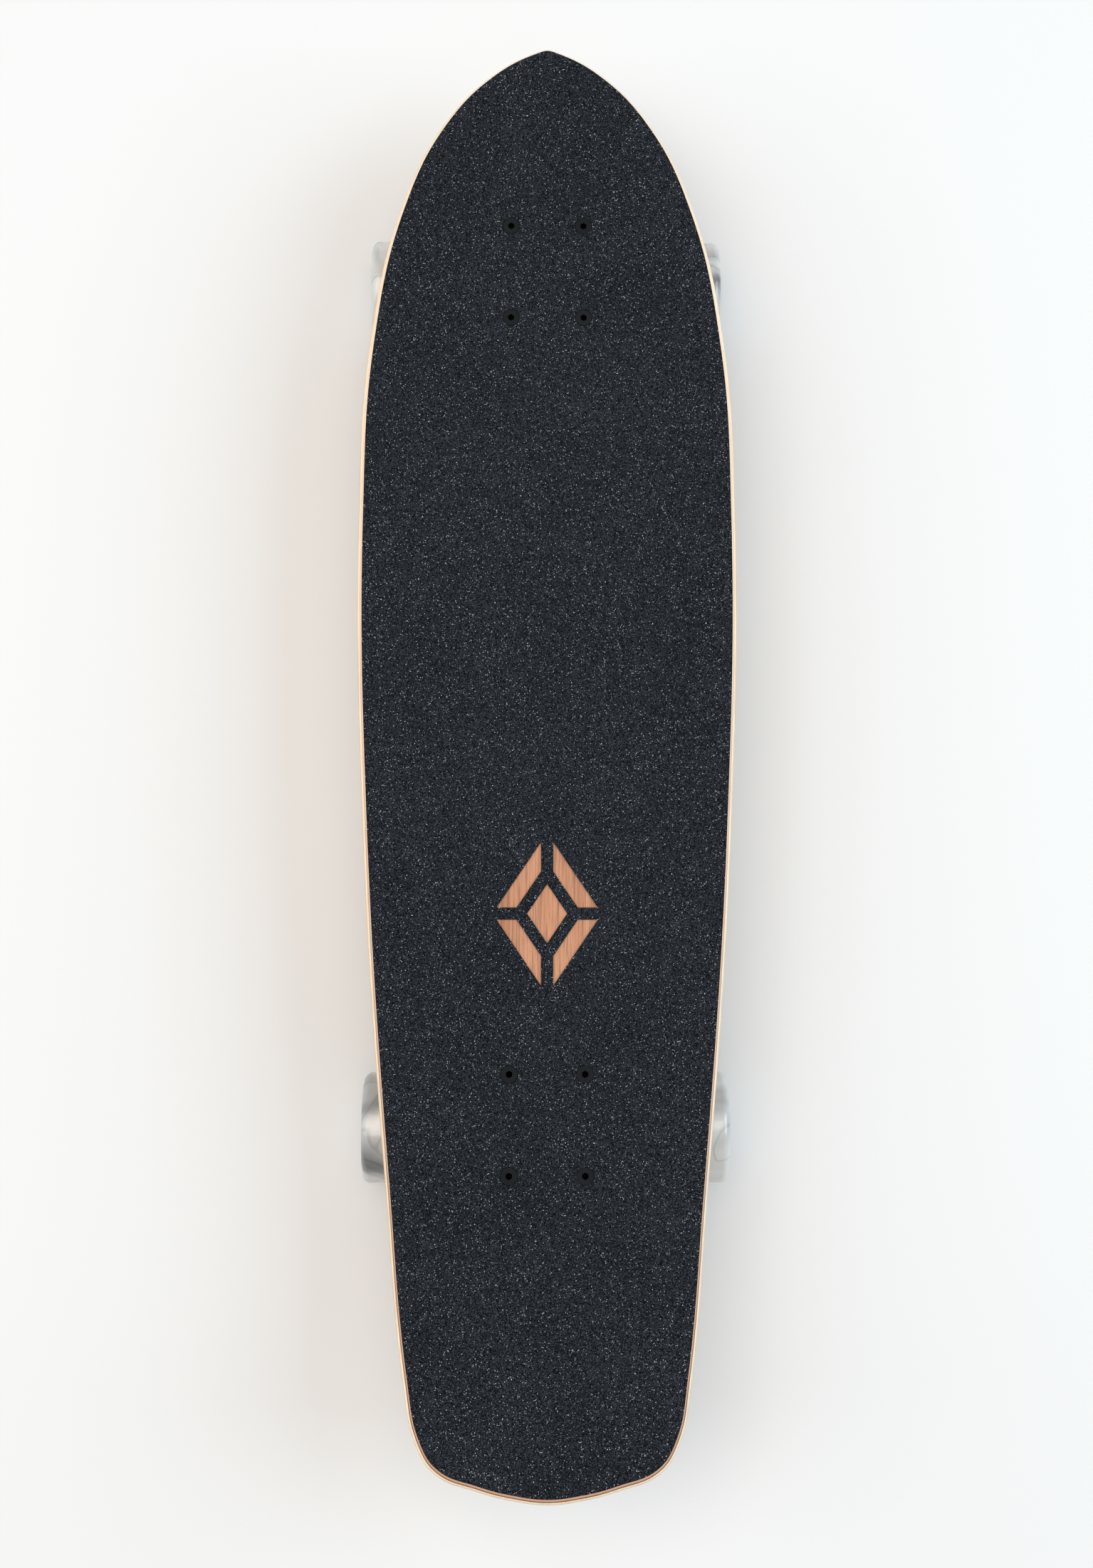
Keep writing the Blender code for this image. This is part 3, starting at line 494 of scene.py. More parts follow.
def makeMetal(name):
    light, dark, smooth, rough, grainPerMetre, bump = metals[name]
    # black oxide is a thin dull skin, so it is no bare metal
    bare = name != "blackSteel"
    finish, tree, shader = newFinish(name, Metallic=float(bare),
                                     Specular_IOR_Level=0.5 if bare else 0.06)
    space = objectSpace(tree)
    stains = addNoise(tree, space, *metalSkin["stains"])
    grain = addNoise(tree, space, grainPerMetre, *metalSkin["grain"])
    colour = addRamp(tree, stains, (0.3, dark), (0.65, light))
    dullness = addRamp(tree, stains, (0.3, rough), (0.7, smooth))
    if not bare:
        # "hollow" is 1 in a bolt's socket, where painted shade darkens the colour and the surface is
        # made fully rough
        hollow = addNode(tree, "Attribute", attribute_name="hollow")
        colour = mixColours(tree, hollow.outputs["Fac"], colour, metalSkin["paintedSocketShade"])
        dullness = mixColours(tree, hollow.outputs["Fac"], dullness, (1, 1, 1))
    wireShader(tree, shader, colour, dullness, grain, bump, metalSkin["bumpDepth"])
    return finish


wheelFinish = {
    "white": (0.61, 0.62, 0.605),
    "haze": (0.42, 0.43, 0.43),
    "smoke": (0.155, 0.164, 0.163),
    "smokeStops": (0.33, 0.45, 0.56),
    "patches": (26, 2, 0.4, 0.8),
    "veins": (17, 1, 0.5, 2.2),
    "veinShade": ((0.46, 1.0), (0.495, 0.70), (0.51, 1.0)),
    "veinStrength": 0.8,
    "shift": (0.21, 0.22, 0),
    "wear": (350, 4, 0.6),
    "roughness": ((0.35, 0.28), (0.75, 0.42)),
    "bump": (0.06, 0.0002),
}


def makeUrethane():
    finish, tree, shader = newFinish("marbledUrethane", Coat_Weight=0.7, Coat_Roughness=0.13,
                                     Coat_IOR=1.6)
    space = objectSpace(tree, shift=wheelFinish["shift"])
    # poured smoke: broad soft patches, and thin veins where a swirl folds over
    patches = addNoise(tree, space, *wheelFinish["patches"])
    colours = [wheelFinish[name] for name in ("smoke", "haze", "white")]
    smoke = addRamp(tree, patches, *zip(wheelFinish["smokeStops"], colours))
    veins = addNoise(tree, space, *wheelFinish["veins"])
    thin = addRamp(tree, veins, *wheelFinish["veinShade"])
    veined = mixColours(tree, wheelFinish["veinStrength"], smoke, thin, "MULTIPLY")
    wear = addNoise(tree, space, *wheelFinish["wear"])
    dullness = addRamp(tree, wear, *wheelFinish["roughness"])
    wireShader(tree, shader, veined, dullness, wear, *wheelFinish["bump"])
    return finish


rubbers = {
    # colour, second colour, roughness, grain per metre, strength of the bump
    "riserRubber": ((0.016, 0.016, 0.017), (0.028, 0.028, 0.029), 0.68, 1500, 0.3),
    "cloudyBushing": ((0.72, 0.70, 0.63), (0.58, 0.56, 0.49), 0.38, 300, 0.08),
    "cupUrethane": ((0.018, 0.018, 0.019), (0.030, 0.030, 0.031), 0.55, 700, 0.15),
}

rubberSkin = {"patches": (80, 5, 0.6, 0.6), "grain": (3, 0.6), "spread": 0.08, "bumpDepth": 0.0003}


def makeRubber(name):
    light, dark, roughness, grain, bump = rubbers[name]
    finish, tree, shader = newFinish(name)
    space = objectSpace(tree)
    patches = addNoise(tree, space, *rubberSkin["patches"])
    fine = addNoise(tree, space, grain, *rubberSkin["grain"])
    colour = addRamp(tree, patches, (0.3, dark), (0.65, light))
    spread = rubberSkin["spread"]
    dullness = addRamp(tree, fine, (0.3, roughness - spread), (0.7, roughness + spread))
    wireShader(tree, shader, colour, dullness, fine, bump, rubberSkin["bumpDepth"])
    return finish


grit = makeGrit()
veneerFinishes = {name: makeVeneer(name) for name in veneers}
castMetal = makeMetal("castMetal")
zincSteel = makeMetal("zincSteel")
bearingSteel = makeMetal("bearingSteel")
blackSteel = makeMetal("blackSteel")
urethane = makeUrethane()
riserRubber = makeRubber("riserRubber")
cloudyBushing = makeRubber("cloudyBushing")
cupUrethane = makeRubber("cupUrethane")
print("finishes made")


# deck: seven veneers cut from one rounded blank, then pressed

deck = {
    "halfWidth": 0.1068,
    "noseTip": 0.3710,
    "tailTip": 0.4324,
    "middleHeight": 0.0927,
    "thickness": 0.011,
    "plies": (0.0012, 0.0005, 0.00186, 0.00186, 0.00186, 0.00186, 0.00186),
    "glueLine": 0.00005,
    "edgeRounding": 0.0045,
    "noseBend": (0.2885, 0.5, math.radians(6)),
    "tailBend": (0.2885, 0.2, math.radians(17)),
    "flatHalf": 0.032,
    "concaveRadius": 0.49,
    "outline": [(0.000, 1.000), (0.047, 0.997), (0.288, 0.961), (0.557, 0.882), (0.785, 0.745),
                (0.944, 0.530), (0.993, 0.265), (0.960, -0.148), (0.816, -0.629),
                (0.711, -0.863), (0.647, -0.930), (0.553, -0.9635), (0.340, -0.984),
                (0.163, -0.9944), (0.000, -0.9987)],
    "outlineSteps": 14,
    "roundingSteps": 6,
    "cleanGap": 0.00001,
    "concaveLines": 9,
    "noseLines": 6,
    "tailLines": 14,
    "sandedBelow": 0.00008,
}

# the middle between the two trucks, in the CAD's frame
ends = ("front", "rear")
plates = {end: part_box(end + "_baseplate") for end in ends}
plateY = {end: (low.y + high.y) / 2 for end, (low, high) in plates.items()}
plateTop = plates["front"][1].z
boardMiddle = (plateY["front"] + plateY["rear"]) / 2
flatGap = 0.0001  # between flat faces that are bolted together
farOut = 0.02  # where a cutting tool ends, well clear of the piece


def bendAt(s, up):
    # forward place and height of a point standing up above blank place s
    start, radius, angle = deck["noseBend"] if s > 0 else deck["tailBend"]
    past = max(abs(s) - start, 0)
    bent = min(past / radius, angle)
    straight = past - bent * radius
    forward = abs(s) - past + radius * math.sin(bent) + straight * math.cos(bent)
    rise = radius * (1 - math.cos(bent)) + straight * math.sin(bent)
    return math.copysign(forward - up * math.sin(bent), s), rise + up * math.cos(bent)


def pressed(point):
    radius = deck["concaveRadius"]
    lean = max(abs(point.x) - deck["flatHalf"], 0) / radius
    across = min(abs(point.x), deck["flatHalf"]) + (radius - point.z) * math.sin(lean)
    up = radius * (1 - math.cos(lean)) + point.z * math.cos(lean)
    forward, height = bendAt(point.y, up)
    return Vector((math.copysign(across, point.x), forward + boardMiddle,
                   deck["middleHeight"] + height))


def bendLines():
    # where the veneers get an edge, so that they can follow the press
    lines = []
    side = deck["halfWidth"] - deck["flatHalf"]
    count = deck["concaveLines"]
    for i in range(count):
        for sign in (-1, 1):
            lines.append(((sign * (deck["flatHalf"] + side * i / count), 0, 0), (1, 0, 0)))
    bends = ((1, deck["noseBend"], deck["noseLines"]), (-1, deck["tailBend"], deck["tailLines"]))
    for sign, (start, radius, angle), count in bends:
        for i in range(count + 1):
            lines.append(((0, sign * (start + radius * angle * i / count), 0), (0, 1, 0)))
    return lines


def drawBlank(name, inset, halfHeight, rounding):
    clearSelection()
    bpy.ops.curve.primitive_bezier_circle_add(radius=0.1)
    blank = bpy.context.object
    blank.name = name
    curve = blank.data
    curve.dimensions = "2D"
    curve.fill_mode = "BOTH"
    curve.resolution_u = deck["outlineSteps"]
    curve.offset = -inset - rounding
    curve.extrude = halfHeight - rounding
    curve.bevel_depth = rounding
    curve.bevel_resolution = deck["roundingSteps"]
    right = [(x * deck["halfWidth"], y * (deck["noseTip"] if y > 0 else deck["tailTip"]))
             for x, y in deck["outline"]]
    corners = right + [(-x, y) for x, y in reversed(right[1:-1])]
    spline = curve.splines[0]
    spline.bezier_points.add(len(corners) - len(spline.bezier_points))
    for point, (x, y) in zip(spline.bezier_points, corners):
        point.co = (x, y, 0)
        point.handle_left_type = point.handle_right_type = "AUTO"
    pick(blank)
    bpy.ops.object.convert(target="MESH")
    return cleanShell(blank, deck["cleanGap"])


def sliceLayer(blank, name, low, high):
    layer = copyOf(blank, name)
    editAll(layer)
    bpy.ops.mesh.bisect(plane_co=(0, 0, high), plane_no=(0, 0, 1), use_fill=True, clear_outer=True)
    bpy.ops.mesh.select_all(action="SELECT")
    bpy.ops.mesh.bisect(plane_co=(0, 0, low), plane_no=(0, 0, 1), use_fill=True, clear_inner=True)
    leaveEdit()
    return layer


def pressLayer(layer):
    editAll(layer)
    for place, normal in bendLines():
        bpy.ops.mesh.select_all(action="SELECT")
        bpy.ops.mesh.bisect(plane_co=place, plane_no=normal)
    leaveEdit()
    for vertex in layer.data.vertices:
        vertex.co = pressed(vertex.co)


holes = {
    "spacing": (0.041275, 0.053975),
    "truckSpacing": 0.477,
    "shank": 0.0028,
    "head": 0.0050,
    "rim": 0.0003,
}

grip = {
    "bottom": 0.00555,
    "top": 0.00635,
    "inset": 0.0020,
    "towardsNose": 0.0004,
    "trimFrom": 0.0005,
    "cutoutPlace": -0.125,
    "cutoutSize": (0.060, 0.088),
    "cutoutBand": 0.011,
    "bridgeShare": 0.6,
    "cutoutCore": 0.022,
}


def boltPlaces():
    # on the flat blank, with the CAD names of the bolts there
    places = {}
    for end, sign in (("front", 1), ("rear", -1)):
        for row, y in (("nose", 1), ("tail", -1)):
            for side, x in (("left", -1), ("right", 1)):
                middle = sign * holes["truckSpacing"] / 2
                places[f"{end}_bolt_{row}_{side}"] = (x * holes["spacing"][0] / 2,
                                                      middle + y * holes["spacing"][1] / 2)
    return places


def addHoleTools(name):
    top = grip["top"]
    above, below = top + 0.002, -0.01
    rim = top - holes["rim"]
    drop = holes["head"] - holes["shank"]
    profile = [(0, above), (holes["head"], above), (holes["head"], rim),
               (holes["shank"], rim - drop), (holes["shank"], below), (0, below)]
    pattern = turnProfile(name, profile, 32)
    drills = []
    for x, y in boltPlaces().values():
        drill = copyOf(pattern, name)
        drill.location = (x, y, 0)
        drills.append(settle(drill))
    bpy.data.objects.remove(pattern)
    return joinAll(name, drills)


def addLozenge(name, width, height, tall=0.02):
    clearSelection()
    bpy.ops.mesh.primitive_cylinder_add(vertices=4, radius=0.5, depth=tall,
                                        location=(0, grip["cutoutPlace"], 0),
                                        scale=(width, height, 1))
    bpy.context.object.name = name
    return settle(bpy.context.object)


def addCutouts():
    # a ring of four bars round a small lozenge
    width, height = grip["cutoutSize"]
    share = 1 - 2 * grip["cutoutBand"] / width
    ring = addLozenge("cutoutRing", width, height)
    bridge = grip["cutoutBand"] * grip["bridgeShare"]
    place = (0, grip["cutoutPlace"], 0)
    bars = [addBlock("cutoutBridge", (bridge, height * 1.2, 0.03), place),
            addBlock("cutoutBridge", (width * 1.2, bridge, 0.03), place)]
    cutAway(ring, addLozenge("cutoutInside", width * share, height * share, 0.03), *bars)
    core = addLozenge("cutoutCore", grip["cutoutCore"], grip["cutoutCore"] * height / width)
    return ring, core


def markSanded(ply, face):
    # everything below the veneer's own face is marked, before it is pressed
    share = ply.data.attributes.new("sanded", "FLOAT", "POINT")
    for vertex, mark in zip(ply.data.vertices, share.data):
        mark.value = float(vertex.co.z < face - deck["sandedBelow"])


def makePlies(drills):
    blank = drawBlank("deckBlank", 0, deck["thickness"] / 2, deck["edgeRounding"])
    slots = {1: "veneer_rose", 2: "veneer_brown", 4: "veneer_amber", 7: "veneer_natural"}
    high = deck["thickness"] / 2
    for number, thick in enumerate(deck["plies"], 1):
        # the two faces of the blank stay as they are, only the glue lines are cut
        half = deck["glueLine"] / 2
        last = number == len(deck["plies"])
        ply = sliceLayer(blank, f"veneerPly{number}", -farOut if last else high - thick + half,
                         farOut if number == 1 else high - half)
        cutAway(ply, copyOf(drills, "drillCopy"))
        if number < 3:
            markSanded(ply, high if number == 1 else 1)
        pressLayer(ply)
        slotName = slots.get(number, "veneer_cream")
        finishPiece(ply, veneerFinishes[slotName], "deck", slotName, f"deck_ply_{number}")
        high -= thick
    bpy.data.objects.remove(blank)


def makeGripTape(drills):
    # a skin over the rounded blank, trimmed by a straight cut all round
    drape = {}
    for name in ("bottom", "top"):
        over = grip[name] - deck["thickness"] / 2
        drape[name] = drawBlank(name, -over, grip[name], deck["edgeRounding"] + over)
    trim = drawBlank("gripTrim", grip["inset"], farOut, 0)
    trim.location = (0, grip["towardsNose"], grip["trimFrom"] + farOut)
    layer = drape["top"]
    layer.name = "gripTape"
    joinShapes(layer, "INTERSECT", settle(trim))
    cutAway(layer, drape["bottom"], drills, *addCutouts())
    pressLayer(layer)
    finishPiece(layer, grit, "deck", "grip", "grip_tape")


def makeDeck():
    drills = addHoleTools("boltDrills")
    makePlies(drills)
    makeGripTape(drills)


makeDeck()
print("deck pressed")


# nuts and bolts

bolt = {
    "headRadius": 0.0047,
    "headChamfer": 0.0002,
    "shankRadius": 0.0024,
    "shankEnd": -0.004,
    "threadStart": -0.0042,
    "pitch": 0.0008,
    "socketRadius": 0.0020,
    "socketDepth": 0.0036,
    "nutRadius": 0.0046,
    "nutHeight": 0.005,
    "plateBottom": -0.0138,
    "end": 0.0015,
}

# shares of the nut's height and radius
nutShape = {
    "hexHeight": 0.75,
    "flatShare": 0.96,
    "collarRadius": 0.8,
    "dome": ((1, 0.9), (0.93, 0.975), (0.82, 1)),
}


def hexNut(name, radius, height, bore, steps=48):
    # hexagon with chamfered corners and a domed collar for the locking ring, top face at Z = 0
    flats = radius * math.cos(math.pi / 6)
    low = -height * nutShape["hexHeight"]
    body = addCylinder(name, radius, low, 0, 6)
    chamfer = (radius - flats) * 0.75
    inner, spare = flats * nutShape["flatShare"], 0.0001
    rounder = [(0, spare), (inner, spare), (radius, -chamfer), (radius, low + chamfer * 0.5),
               (inner, low - spare), (0, low - spare)]
    joinShapes(body, "INTERSECT", turnProfile("cornerRounder", rounder, steps))
    collar, root = radius * nutShape["collarRadius"], low * 0.6
    dome = [(0, root), (collar, root)]
    dome += [(collar * r, -height * z) for r, z in nutShape["dome"]] + [(0, -height)]
    joinShapes(body, "UNION", turnProfile("collar", dome, steps))
    return cutAway(body, addCylinder("bore", bore, -height - 0.01, 0.01, 32))


# shares of the pitch: depth, where a ridge ends, where the groove starts and ends
threadShape = {"depth": 0.45, "ridge": 0.3, "groove": (0.5, 0.7)}


def threaded(radius, start, end, pitch):
    # ridges of a thread as rings, going down from start to end
    root = radius - pitch * threadShape["depth"]
    grooveTop, grooveEnd = threadShape["groove"]
    ring = []
    z = start
    while z - pitch > end:
        ring += [(radius, z), (radius, z - pitch * threadShape["ridge"]),
                 (root, z - pitch * grooveTop), (root, z - pitch * grooveEnd)]
        z -= pitch
    return ring


def makeBolts():
    top = grip["top"]
    seat = bolt["plateBottom"] - flatGap
    low = seat - bolt["nutHeight"] - bolt["end"]
    head, shank = bolt["headRadius"], bolt["shankRadius"]
    chamfer, rim = bolt["headChamfer"], top - holes["rim"]
    profile = [(0, top), (head - chamfer, top), (head, top - chamfer), (head, rim),
               (shank, rim - (head - shank)), (shank, bolt["shankEnd"])]
    profile += threaded(shank, bolt["threadStart"], low + 0.0006, bolt["pitch"])
    profile += [(shank - 0.0003, low), (0, low)]
    pattern = turnProfile("boltPattern", profile, 40)
    floor = top - bolt["socketDepth"]
    cutAway(pattern, addCylinder("socket", bolt["socketRadius"], floor, top + 0.001, 6))
    # marks the socket's faces, where the black steel's finish paints shade
    hollow = pattern.data.attributes.new("hollow", "FLOAT", "FACE")
    for face, mark in zip(pattern.data.polygons, hollow.data):
        inside = Vector(face.center[:2]).length < bolt["socketRadius"]
        mark.value = float(inside and floor - 0.0001 < face.center.z < top - 0.0001)
    nut = hexNut("boltNut", bolt["nutRadius"], bolt["nutHeight"], shank - 0.0004, 40)
    nut.location = (0, 0, seat)
    joinShapes(pattern, "UNION", settle(nut))
    for name, (x, y) in boltPlaces().items():
        piece = copyOf(pattern, "bolt" + name.replace("bolt_", "").title().replace("_", ""))
        piece.location = (x, y + boardMiddle, deck["middleHeight"])
        finishPiece(piece, blackSteel, "deck", "black_steel", name)
    bpy.data.objects.remove(pattern)


makeBolts()
print("bolts set")


# trucks, modelled once from the plate's top, with Y towards the nose or tail

truck = {
    "axlePlace": (0, 0.008, -0.053),
    "kingpinLean": math.radians(22),
    "kingpinStart": -0.006,
    "ringDepth": 0.036,
    "pivotPlace": (0, 0.026, -0.0125),
    "seatGap": 0.0003,
    "pressGap": 0.00015,
}

gap = truck["seatGap"]
kingpinTurn = Euler((-truck["kingpinLean"], 0, 0))


def kingpinPoint(depth):
    # a point on the middle line of the kingpin
    return Vector((0, truck["kingpinStart"], 0)) + kingpinTurn.to_matrix() @ Vector((0, 0, -depth))


ringPlace = kingpinPoint(truck["ringDepth"])
pivotPlace = Vector(truck["pivotPlace"])
axlePlace = Vector(truck["axlePlace"])
steeringAxis = (pivotPlace - ringPlace).normalized()
steeringTurn = Euler((math.atan2(steeringAxis.z, steeringAxis.y) - math.pi / 2, 0, 0))


def onKingpin(thing, depth=0.0):
    return setDown(thing, kingpinTurn, kingpinPoint(depth))


def onPivot(thing):
    return setDown(thing, steeringTurn, pivotPlace)


def onAxle(thing):
    return setDown(thing, (0, math.pi / 2, 0), axlePlace)


def castTogether(name, shapes, values):
    # overlapping shapes become one casting with soft inside corners
    casting = joinAll(name, shapes)
    casting.data.remesh_voxel_size = values["voxel"]
    bpy.ops.object.voxel_remesh()
    softening = casting.modifiers.new("softening", "SMOOTH")
    softening.factor = 0.5
    softening.iterations = values["smoothing"]
    return applyModifiers(casting)


def trimAt(thing, place, normal):
    # everything on the normal's side goes, and the cut is closed flat
    editAll(thing)
    bpy.ops.mesh.bisect(plane_co=place, plane_no=normal, use_fill=True, clear_outer=True)
    leaveEdit()


baseplate = {
    "size": (0.057, 0.082),
    "thickness": 0.005,
    "corner": 0.011,
    "spare": 0.003,
    # radius and height at the boss's two ends, the lower one first
    "bossRadius": (0.0148, 0.0154),
    "bossEnds": (-0.015, 0.004),
    "housingRadius": 0.0115,
    "housingEnd": 0.0105,
    "rib": (0.011, 0.009),
    "headPocket": (0.0086, -0.0095),
    "cupRadius": 0.008,
    "cupMouth": 0.0083,
    "cupFloor": 0.0078,
    "stemRoom": 0.0100,
    "voxel": 0.0006,
    "smoothing": 13,
}


def plateDrills(low):
    drills = []
    for x in (-1, 1):
        for y in (-1, 1):
            drill = addCylinder("plateDrill", holes["shank"], low, farOut, 28)
            drill.location = (x * holes["spacing"][0] / 2, y * holes["spacing"][1] / 2, 0)
            drills.append(settle(drill))
    return drills


def makeBaseplate():
    thick, spare = baseplate["thickness"], baseplate["spare"]
    # the plate starts a little thicker, and is trimmed flat at Z = 0
    plate = addBlock("plate", (*baseplate["size"], thick + spare), (0, 0, spare / 2 - thick / 2),
                     baseplate["corner"])
    root, top = baseplate["bossRadius"]
    boss = onKingpin(addCylinder("boss", root, *baseplate["bossEnds"], tip=top))
    mouth = -baseplate["cupMouth"]
    housing = onPivot(addCylinder("housing", baseplate["housingRadius"], mouth,
                                  baseplate["housingEnd"]))
    start, end = truck["kingpinStart"], truck["pivotPlace"][1]
    ribWidth, ribHeight = baseplate["rib"]
    rib = addBlock("rib", (ribWidth, end - start, ribHeight), (0, (start + end) / 2, -thick - 0.002))
    casting = castTogether("baseplateCasting", [plate, boss, housing, rib], baseplate)
    trimAt(casting, (0, 0, 0), (0, 0, 1))
    bore = onKingpin(addCylinder("kingpinBore", kingpinHole, -0.03, farOut))
    pocketRadius, pocketFloor = baseplate["headPocket"]
    pocket = onKingpin(addCylinder("headPocket", pocketRadius, pocketFloor, farOut, 6))
    cupPocket = onPivot(addCylinder("cupPocket", baseplate["cupRadius"] + truck["pressGap"],
                                    mouth - farOut, baseplate["cupFloor"]))
    room = onPivot(addCylinder("stemRoom", baseplate["stemRoom"], mouth - 0.03, mouth))
    return cutAway(casting, bore, pocket, cupPocket, room, *plateDrills(-0.03))


riser = {"thickness": 0.003, "size": (0.057, 0.082), "corner": 0.011, "rounding": 0.0003}


def makeRiser():
    pad = addBlock("riser", (*riser["size"], riser["thickness"]),
                   (0, 0, flatGap + riser["thickness"] / 2), riser["corner"])
    cutAway(pad, *plateDrills(-farOut))
    return roundEdges(pad, riser["rounding"], 2)


hanger = {
    "half": 0.0693,
    "spare": 0.002,
    "endRadius": 0.0078,
    # radius, and share of the half length
    "arm": ((0.0082, 0.97), (0.0095, 0.9), (0.0095, 0.62), (0.01125, 0.42), (0.0125, 0.3)),
    "webThickness": 0.009,
    "webRingHalf": 0.0135,
    "webAxleHalf": 0.041,
    "ringRadius": 0.017,
    "ringThickness": 0.009,
    "ringBore": 0.007,
    "seatRadius": 0.0123,
    "seatDepth": 0.0019,
    "seatReach": 0.012,
    "stemRadius": 0.0052,
    "stemLength": 0.0165,
    "postTop": 0.0065,
    "postRoot": 0.0115,
    "voxel": 0.0007,
    "smoothing": 16,
}


def makeWeb():
    run = axlePlace - ringPlace
    web = addBlock("web", (2 * hanger["webRingHalf"], run.length, hanger["webThickness"]))
    selectEdges(web, lambda a, b: a.y > 0 and b.y > 0)
    wide = hanger["webAxleHalf"] / hanger["webRingHalf"]
    bpy.ops.transform.resize(value=(wide, 1, 1), center_override=(0, 0, 0))
    leaveEdit()
    selectEdges(web, lambda a, b: abs(a.y - b.y) > run.length / 2)
    bpy.ops.mesh.bevel(offset=hanger["webThickness"] * 0.3, segments=4, affect="EDGES")
    leaveEdit()
    return setDown(web, (math.atan2(run.z, run.y), 0, 0), (ringPlace + axlePlace) / 2)


def makeHanger():
    half = hanger["half"]
    tip = half + hanger["spare"]
    side = [(hanger["endRadius"], tip)] + [(r, half * share) for r, share in hanger["arm"]]
    outline = [(0, tip)] + side + mirrored(side) + [(0, -tip)]
    arms = onAxle(turnProfile("arms", outline, 48))
    foot = pivotPlace - steeringAxis * (hanger["stemLength"] + 0.001)
    run = foot - axlePlace
    post = addCylinder("post", hanger["postRoot"], 0, run.length, 32, tip=hanger["postTop"])
    setDown(post, (math.atan2(run.z, run.y) - math.pi / 2, 0, 0), axlePlace)
    thick = hanger["ringThickness"] / 2
    ring = onKingpin(addCylinder("ring", hanger["ringRadius"], -thick, thick), truck["ringDepth"])
    casting = castTogether("hangerCasting", [arms, makeWeb(), post, ring], hanger)
    trimAt(casting, (half, 0, 0), (1, 0, 0))
    trimAt(casting, (-half, 0, 0), (-1, 0, 0))
    radius, length = hanger["stemRadius"], hanger["stemLength"]
    stem = arcPoints((0, 0), radius, 90, 0, 8)
    stem += [(radius, -length * 0.72), (hanger["postTop"] - 0.0004, -length),
             (hanger["postTop"] * 0.7, -length - 0.005), (0, -length - 0.0055)]
    joinShapes(casting, "UNION", onPivot(turnProfile("stem", stem, 40)))
    floor, reach = thick - hanger["seatDepth"], hanger["seatReach"]
    cuts = [("ringBore", hanger["ringBore"], -farOut, farOut),
            ("upperSeat", hanger["seatRadius"], floor, reach),
            ("lowerSeat", hanger["seatRadius"], -reach, -floor)]
    tools = [onKingpin(addCylinder(*cut), truck["ringDepth"]) for cut in cuts]
    tools.append(onAxle(addCylinder("axleHole", axle["radius"] + truck["pressGap"], -0.1, 0.1, 32)))
    return cutAway(casting, *tools)


kingpin = {
    "radius": 0.00475,
    "headRadius": 0.008,
    "headHeight": 0.005,
    "headDepth": 0.0042,
    "pitch": 0.00106,
    "washerRadius": 0.0125,
    "washerThickness": 0.0015,
    "washerRim": ((0.0012, 0), (0.0002, 0.0005), (0, 0.0009)),
    "bushingRadius": 0.012,
    "bushingWaist": 0.0112,
    "coneTip": 0.0095,
    "coneLength": 0.0117,
    "bushingRounding": 0.0006,
    "nutRadius": 0.0081,
    "nutHeight": 0.008,
    "end": 0.0011,
}

# how far down the kingpin each piece of the stack starts
upperWasherAt = -baseplate["bossEnds"][0] + gap
boardsideAt = upperWasherAt + kingpin["washerThickness"] + gap
upperSeat = truck["ringDepth"] - hanger["ringThickness"] / 2 + hanger["seatDepth"]
lowerSeat = truck["ringDepth"] + hanger["ringThickness"] / 2 - hanger["seatDepth"]
boardsideLength = upperSeat - gap - boardsideAt
roadsideAt = lowerSeat + gap
lowerWasherAt = roadsideAt + kingpin["coneLength"] + gap
nutAt = lowerWasherAt + kingpin["washerThickness"] + gap
kingpinTip = nutAt + kingpin["nutHeight"] + kingpin["end"]
kingpinHole = kingpin["radius"] + gap


def makeKingpin():
    radius = kingpin["radius"]
    low = -kingpin["headDepth"] - kingpin["headHeight"]
    head = addCylinder("kingpin", kingpin["headRadius"], low, -kingpin["headDepth"], 6)
    roundEdges(head, 0.0004, 2)
    profile = [(0, low + 0.001), (radius, low + 0.001), (radius, -nutAt + 0.004)]
    profile += threaded(radius, -nutAt + 0.0035, -kingpinTip + 0.0012, kingpin["pitch"])
    profile += [(radius - 0.0005, -kingpinTip + 0.0004), (radius - 0.0009, -kingpinTip),
                (0, -kingpinTip)]
    joinShapes(head, "UNION", turnProfile("shank", profile, 40))
    return onKingpin(head)


def makeWasher():
    radius, thick = kingpin["washerRadius"], kingpin["washerThickness"]
    profile = [(kingpinHole, 0)] + [(radius - r, -z) for r, z in kingpin["washerRim"]]
    profile += [(radius, -thick), (radius - 0.0005, -thick), (kingpinHole, -thick)]
    return roundEdges(turnProfile("washer", profile, 56), 0.00015, 2)


def makeBushing(name, profile, length, rows):
    bore = [(kingpinHole, -length * (rows - i) / rows) for i in range(rows + 1)]
    soft = turnProfile(name, profile + bore, 56)
    roundEdges(soft, kingpin["bushingRounding"], 4)
    editAll(soft)
    bpy.ops.mesh.subdivide(number_cuts=1)
    leaveEdit()
    return soft


def makeBushings():
    radius, waist, length = kingpin["bushingRadius"], kingpin["bushingWaist"], boardsideLength
    rows = 8
    barrel = [(radius - (radius - waist) * math.sin(math.pi * i / rows), -length * i / rows)
              for i in range(rows + 1)]
    boardside = makeBushing("boardside", barrel, length, rows)
    length = kingpin["coneLength"]
    seat = hanger["seatDepth"]
    rows = 6
    cone = [(radius, 0), (radius, -seat)]
    cone += [(radius - (radius - kingpin["coneTip"]) * i / rows, -seat - (length - seat) * i / rows)
             for i in range(1, rows + 1)]
    roadside = makeBushing("roadside", cone, length, rows)
    return onKingpin(boardside, boardsideAt), onKingpin(roadside, roadsideAt)


cup = {"floor": 0.002, "flangeRadius": 0.0094, "flange": 0.0014, "rounding": 0.0002}


